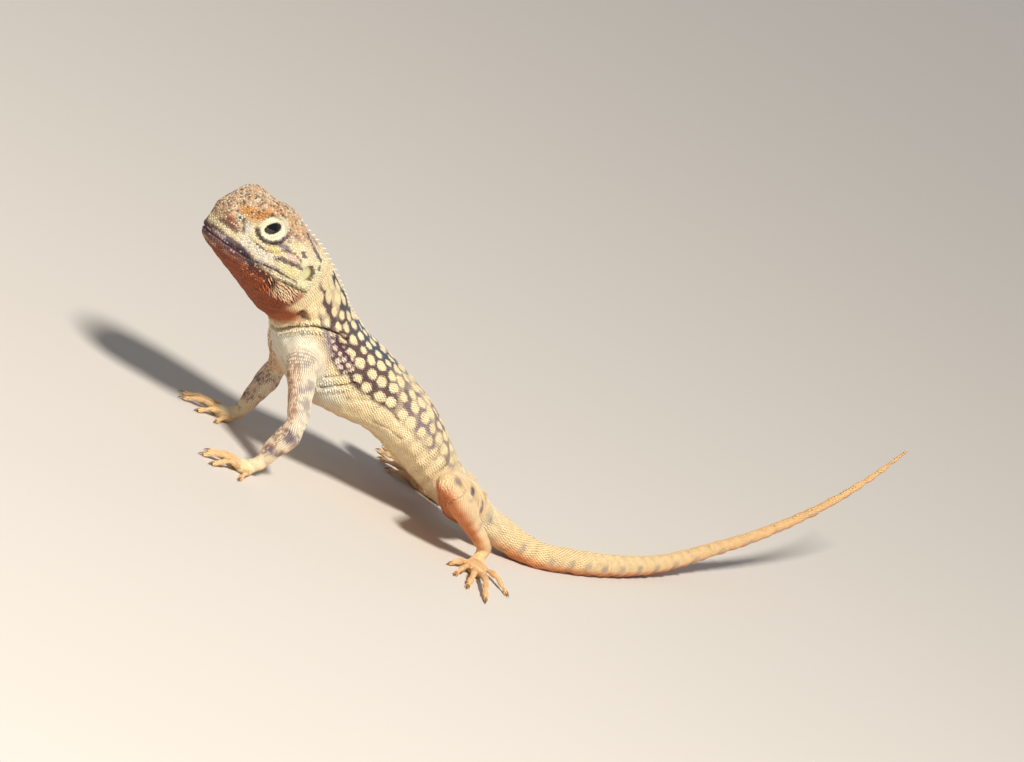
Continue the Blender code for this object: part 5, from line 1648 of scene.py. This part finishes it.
# Each lip is edged by one row of longer horny plates, fixed in the hide along the line of the mouth.
# Their colours vary from pale to slate.
PLATE_LENGTH = 0.56
PLATE_HEIGHT = 0.5
plate_spots, plate_lies = [], []
for side in (1.0, -1.0):
    for offset_up in (0.36, -0.38):
        mouth = [(back, height + offset_up) for back, height in MOUTH_LINE]
        line = head_line(skin_tree, mouth, side)
        span = lengths_along(line)
        count = int(span[-1] / PLATE_LENGTH)
        marks = (np.arange(count) + 0.5) * span[-1] / count
        plate_spots.append(places_along(marks, span, line))
        plate_lies.append(unit(places_along(marks + 0.3, span, line) - places_along(marks - 0.3, span, line)))
plate_spots, plate_lies = np.concatenate(plate_spots), np.concatenate(plate_lies)
spots, normal, lie, faces_hit, hold = settle(plate_spots, plate_lies, 0.8)
spots, normal, lie, faces_hit = spots[hold], normal[hold], lie[hold], faces_hit[hold]
colours = jitter(skin_paint[face_corners[faces_hit]].mean(axis=1), 0.2)
cast = rng.random(len(spots))
colours = blend(colours, (206, 190, 194), 0.6 * (cast < 0.22))
colours = blend(colours, (52, 40, 48), 0.6 * (cast > 0.8))
back_here, left_here, height_here = head_lengths(spots)
patches = np.stack((0.02 + 0.055 * np.clip(back_here, 0.0, 17.0),
                    0.5 + 0.2 * np.sign(left_here) + 0.06 * height_here), axis=1)
lay("lip_plates", GRANULE_SHAPE, spots, normal, lie,
    np.tile((PLATE_HEIGHT, PLATE_LENGTH * 1.06, 0.6), (len(spots), 1)), colours, patches)

# The eye is a wet dark ball with a round pupil in a narrow brown iris. It is set deep between the
# lids, where it takes the place of the solid's eye.
EYE_ROWS = 40
EYE_SIDES = 64
PUPIL = 0.42
IRIS = 0.58
eye_finish, nodes, links, eye_shader = new_finish("eye_finish")
eye_marking = nodes.new("ShaderNodeAttribute")
eye_marking.attribute_name = "painted_colour"
eye_speck = nodes.new("ShaderNodeTexNoise")
eye_speck.inputs["Scale"].default_value = 6000.0
eye_mix = nodes.new("ShaderNodeMix")
eye_mix.data_type = "RGBA"
eye_mix.blend_type = "MULTIPLY"
eye_mix.inputs["Factor"].default_value = 0.35
links.new(eye_marking.outputs["Color"], eye_mix.inputs["A"])
links.new(eye_speck.outputs["Color"], eye_mix.inputs["B"])
links.new(eye_mix.outputs["Result"], eye_shader.inputs["Base Color"])
eye_shader.inputs["Roughness"].default_value = 0.07
eye_shader.inputs["Coat Weight"].default_value = 1.0
eye_shader.inputs["Coat Roughness"].default_value = 0.02


def closed_mesh(name, points):
    """Return a mesh of rows of points closed at each end."""
    spots, quads, ends = grid_body(points)
    mesh = bpy.data.meshes.new(name)
    mesh.from_pydata(to_model(spots).tolist(), [], quads + ends)
    mesh.update()
    for polygon in mesh.polygons:
        polygon.use_smooth = len(polygon.vertices) == 4
    return mesh


for name, side in (("eye_left", 1.0), ("eye_right", -1.0)):
    look = lid_axes(side)[1]
    aside = unit(np.cross(look, head_up))
    ball = ball_points(head_point(EYE_BACK, side * EYE_OUT, EYE_HEIGHT), (EYE_RADIUS - 0.02,) * 3,
                       (look, aside, np.cross(aside, look)), EYE_ROWS, EYE_SIDES)
    mesh = closed_mesh(name + "_ball", ball)
    tilt = np.repeat(np.linspace(BALL_END, math.pi - BALL_END, EYE_ROWS), EYE_SIDES)
    iris = climb(PUPIL - 0.03, PUPIL + 0.03, tilt)[:, None] * shade((30, 18, 12))
    rim = np.exp(-((tilt - PUPIL - 0.06) / 0.035) ** 2)[:, None]
    iris = iris + (shade((70, 46, 24)) - iris) * rim * 0.7
    tone = iris + (shade((22, 14, 12)) - iris) * climb(IRIS - 0.1, IRIS + 0.1, tilt)[:, None]
    add_colours(mesh, tone)
    mesh.materials.append(eye_finish)
    eyeball = add_piece(name + "_ball", mesh)
    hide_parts(name)

# The eardrum is a thin pale skin stretched over the bottom of the ear opening, behind the jaw. A
# darker crescent lies along its rear edge, partly its own dark colour and partly painted shade.
drum_finish = hide_material("drum_finish", 3000.0, 0.3, 0.34, 0.00002)
for name, side in (("eardrum_left", 1.0), ("eardrum_right", -1.0)):
    back, height, half_length, half_height = EAR[:4]
    near = (opening_ring(back_at, height_at, EAR) < 0.6) & on_trunk
    near &= (left_at * side > 2.0) & (back_at < OPENING_BACK)
    floor_out = np.mean(left_at[near] * side)
    rings = np.linspace(0.0, 1.0, 14)[::-1, None]
    spin = round_turns(40)[None, :]
    front = head_point(back + rings * half_length * 1.08 * np.cos(spin),
                       side * (floor_out + 0.4 - 0.2 * (1.0 - rings ** 2)),
                       height + rings * half_height * 1.05 * np.sin(spin))
    rear = head_point(back + rings[::-1] * half_length * 1.08 * np.cos(spin), side * (floor_out - 0.3),
                      height + rings[::-1] * half_height * 1.05 * np.sin(spin))
    shells = (front[::-1][1:], rear[::-1][:-1]) if side > 0.0 else (rear[1:], front[:-1])
    mesh = closed_mesh(name, np.concatenate(shells))
    spots = read_points(mesh) / MM - PALM_PLACE
    here_back, _, here_height = head_lengths(spots)
    # the crescent is partly dark colour and partly painted shade under the opening's rim
    crescent = np.exp(-((opening_ring(here_back, here_height, EAR) - 0.86) / 0.26) ** 2)
    crescent *= climb(-0.1, 0.5,
                      (here_back - back) / half_length + 0.35 * (here_height - height) / half_height)
    tone = np.tile(shade((206, 202, 154)), (len(spots), 1))
    tone = blend(tone, (92, 62, 40), crescent)
    add_colours(mesh, tone)
    mesh.materials.append(drum_finish)
    add_piece(name, mesh)

# A low crest of soft pointed spines stands on the nape and the front of the back. Each is a curved
# cone that leans to the rear, with its root sunk in the hide.
CREST_FIRST = 15.4
CREST_LAST = 38.0
CREST_COUNT = 26
CREST_HEIGHT = 0.95


def cone_points(start, direction, rise_to, length, wide, thick, across, bow, rows=9, sides=10):
    """Return rows of points on a curved cone that bends from one direction towards another."""
    points = []
    for share in np.linspace(0.0, 0.985, rows):
        place = start + direction * length * share + rise_to * bow * share * share
        size = (1.0 - share) ** 0.8
        heading = unit(direction * length + rise_to * bow * 2.0 * share)
        upward = np.cross(across, heading)
        spin = round_turns(sides)[:, None]
        points.append(place + across * wide * size * np.cos(spin) + upward * thick * size * np.sin(spin))
    return np.array(points)


def join_cones(name, cones, tones, finish):
    """Make one joined piece of cones, each with a colour at its root and at its tip."""
    spots, all_faces, all_tones, count = [], [], [], 0
    for points, (root_tone, tip_tone) in zip(cones, tones):
        corner, quads, ends = grid_body(points)
        all_faces += [[index + count for index in face] for face in quads + ends]
        spots.append(corner)
        share = np.repeat(np.linspace(0.0, 1.0, len(points)), points.shape[1])[:, None]
        all_tones.append(shade(root_tone) * (1.0 - share) + shade(tip_tone) * share)
        count += len(corner)
    mesh = bpy.data.meshes.new(name)
    placed = to_model(np.concatenate(spots))
    placed[:, 2] = np.maximum(placed[:, 2], 0.0)
    mesh.from_pydata(placed.tolist(), [], all_faces)
    mesh.update()
    for polygon in mesh.polygons:
        polygon.use_smooth = True
    add_colours(mesh, np.concatenate(all_tones))
    mesh.materials.append(finish)
    add_piece(name, mesh)


cones, tones = [], []
for number, along in enumerate(np.linspace(CREST_FIRST, CREST_LAST, CREST_COUNT)):
    place, left, up, rearward = (value[0] for value in body_frame(along))
    spot, _ = shoot(skin_tree, place + up * 30.0, -up)
    share = number / (CREST_COUNT - 1.0)
    tall = CREST_HEIGHT * (0.45 + 0.55 * math.sin(math.pi * min(share * 1.15 + 0.12, 1.0)))
    lean = unit(up * 0.8 + rearward * 0.62)
    cones.append(cone_points(spot - lean * 0.22, lean, rearward, tall + 0.22, 0.17, 0.3, left, tall * 0.3))
    tones.append(((214, 190, 150), (252, 242, 214)))
crest_finish = hide_material("crest_finish", 9000.0, 0.2, 0.5, 0.00003)
join_cones("crest_spines", cones, tones, crest_finish)

# The claws are dark horn, one at the end of each digit. Each is a curved cone that comes out of the
# digit's tip and bends down to the floor.
claw_finish = hide_material("claw_finish", 14000.0, 0.5, 0.3, 0.00001)
cones, tones = [], []
for place, direction, radius, length in claw_roots:
    across = np.array((-direction[1], direction[0], 0.0))
    start = place - direction * radius * 0.3 + np.array((0.0, 0.0, 0.1))
    down = np.array((0.0, 0.0, -1.0))
    rise = unit(direction + np.array((0.0, 0.0, 0.28)))
    cones.append(cone_points(start, rise, down, length + radius * 0.3, radius * 0.46, radius * 0.52, across,
                             start[2] + 0.28 * length - 0.1, 10, 10))
    tones.append(((196, 150, 104), (92, 66, 50)))
join_cones("claws", cones, tones, claw_finish)

# The hide is moved from millimetres into the model's own metres last, since the other pieces are
# rooted in it, and both sizes are kept.
hide_mesh.vertices.foreach_set("co", to_model(read_points(hide_mesh)).ravel())
hide_mesh.update()
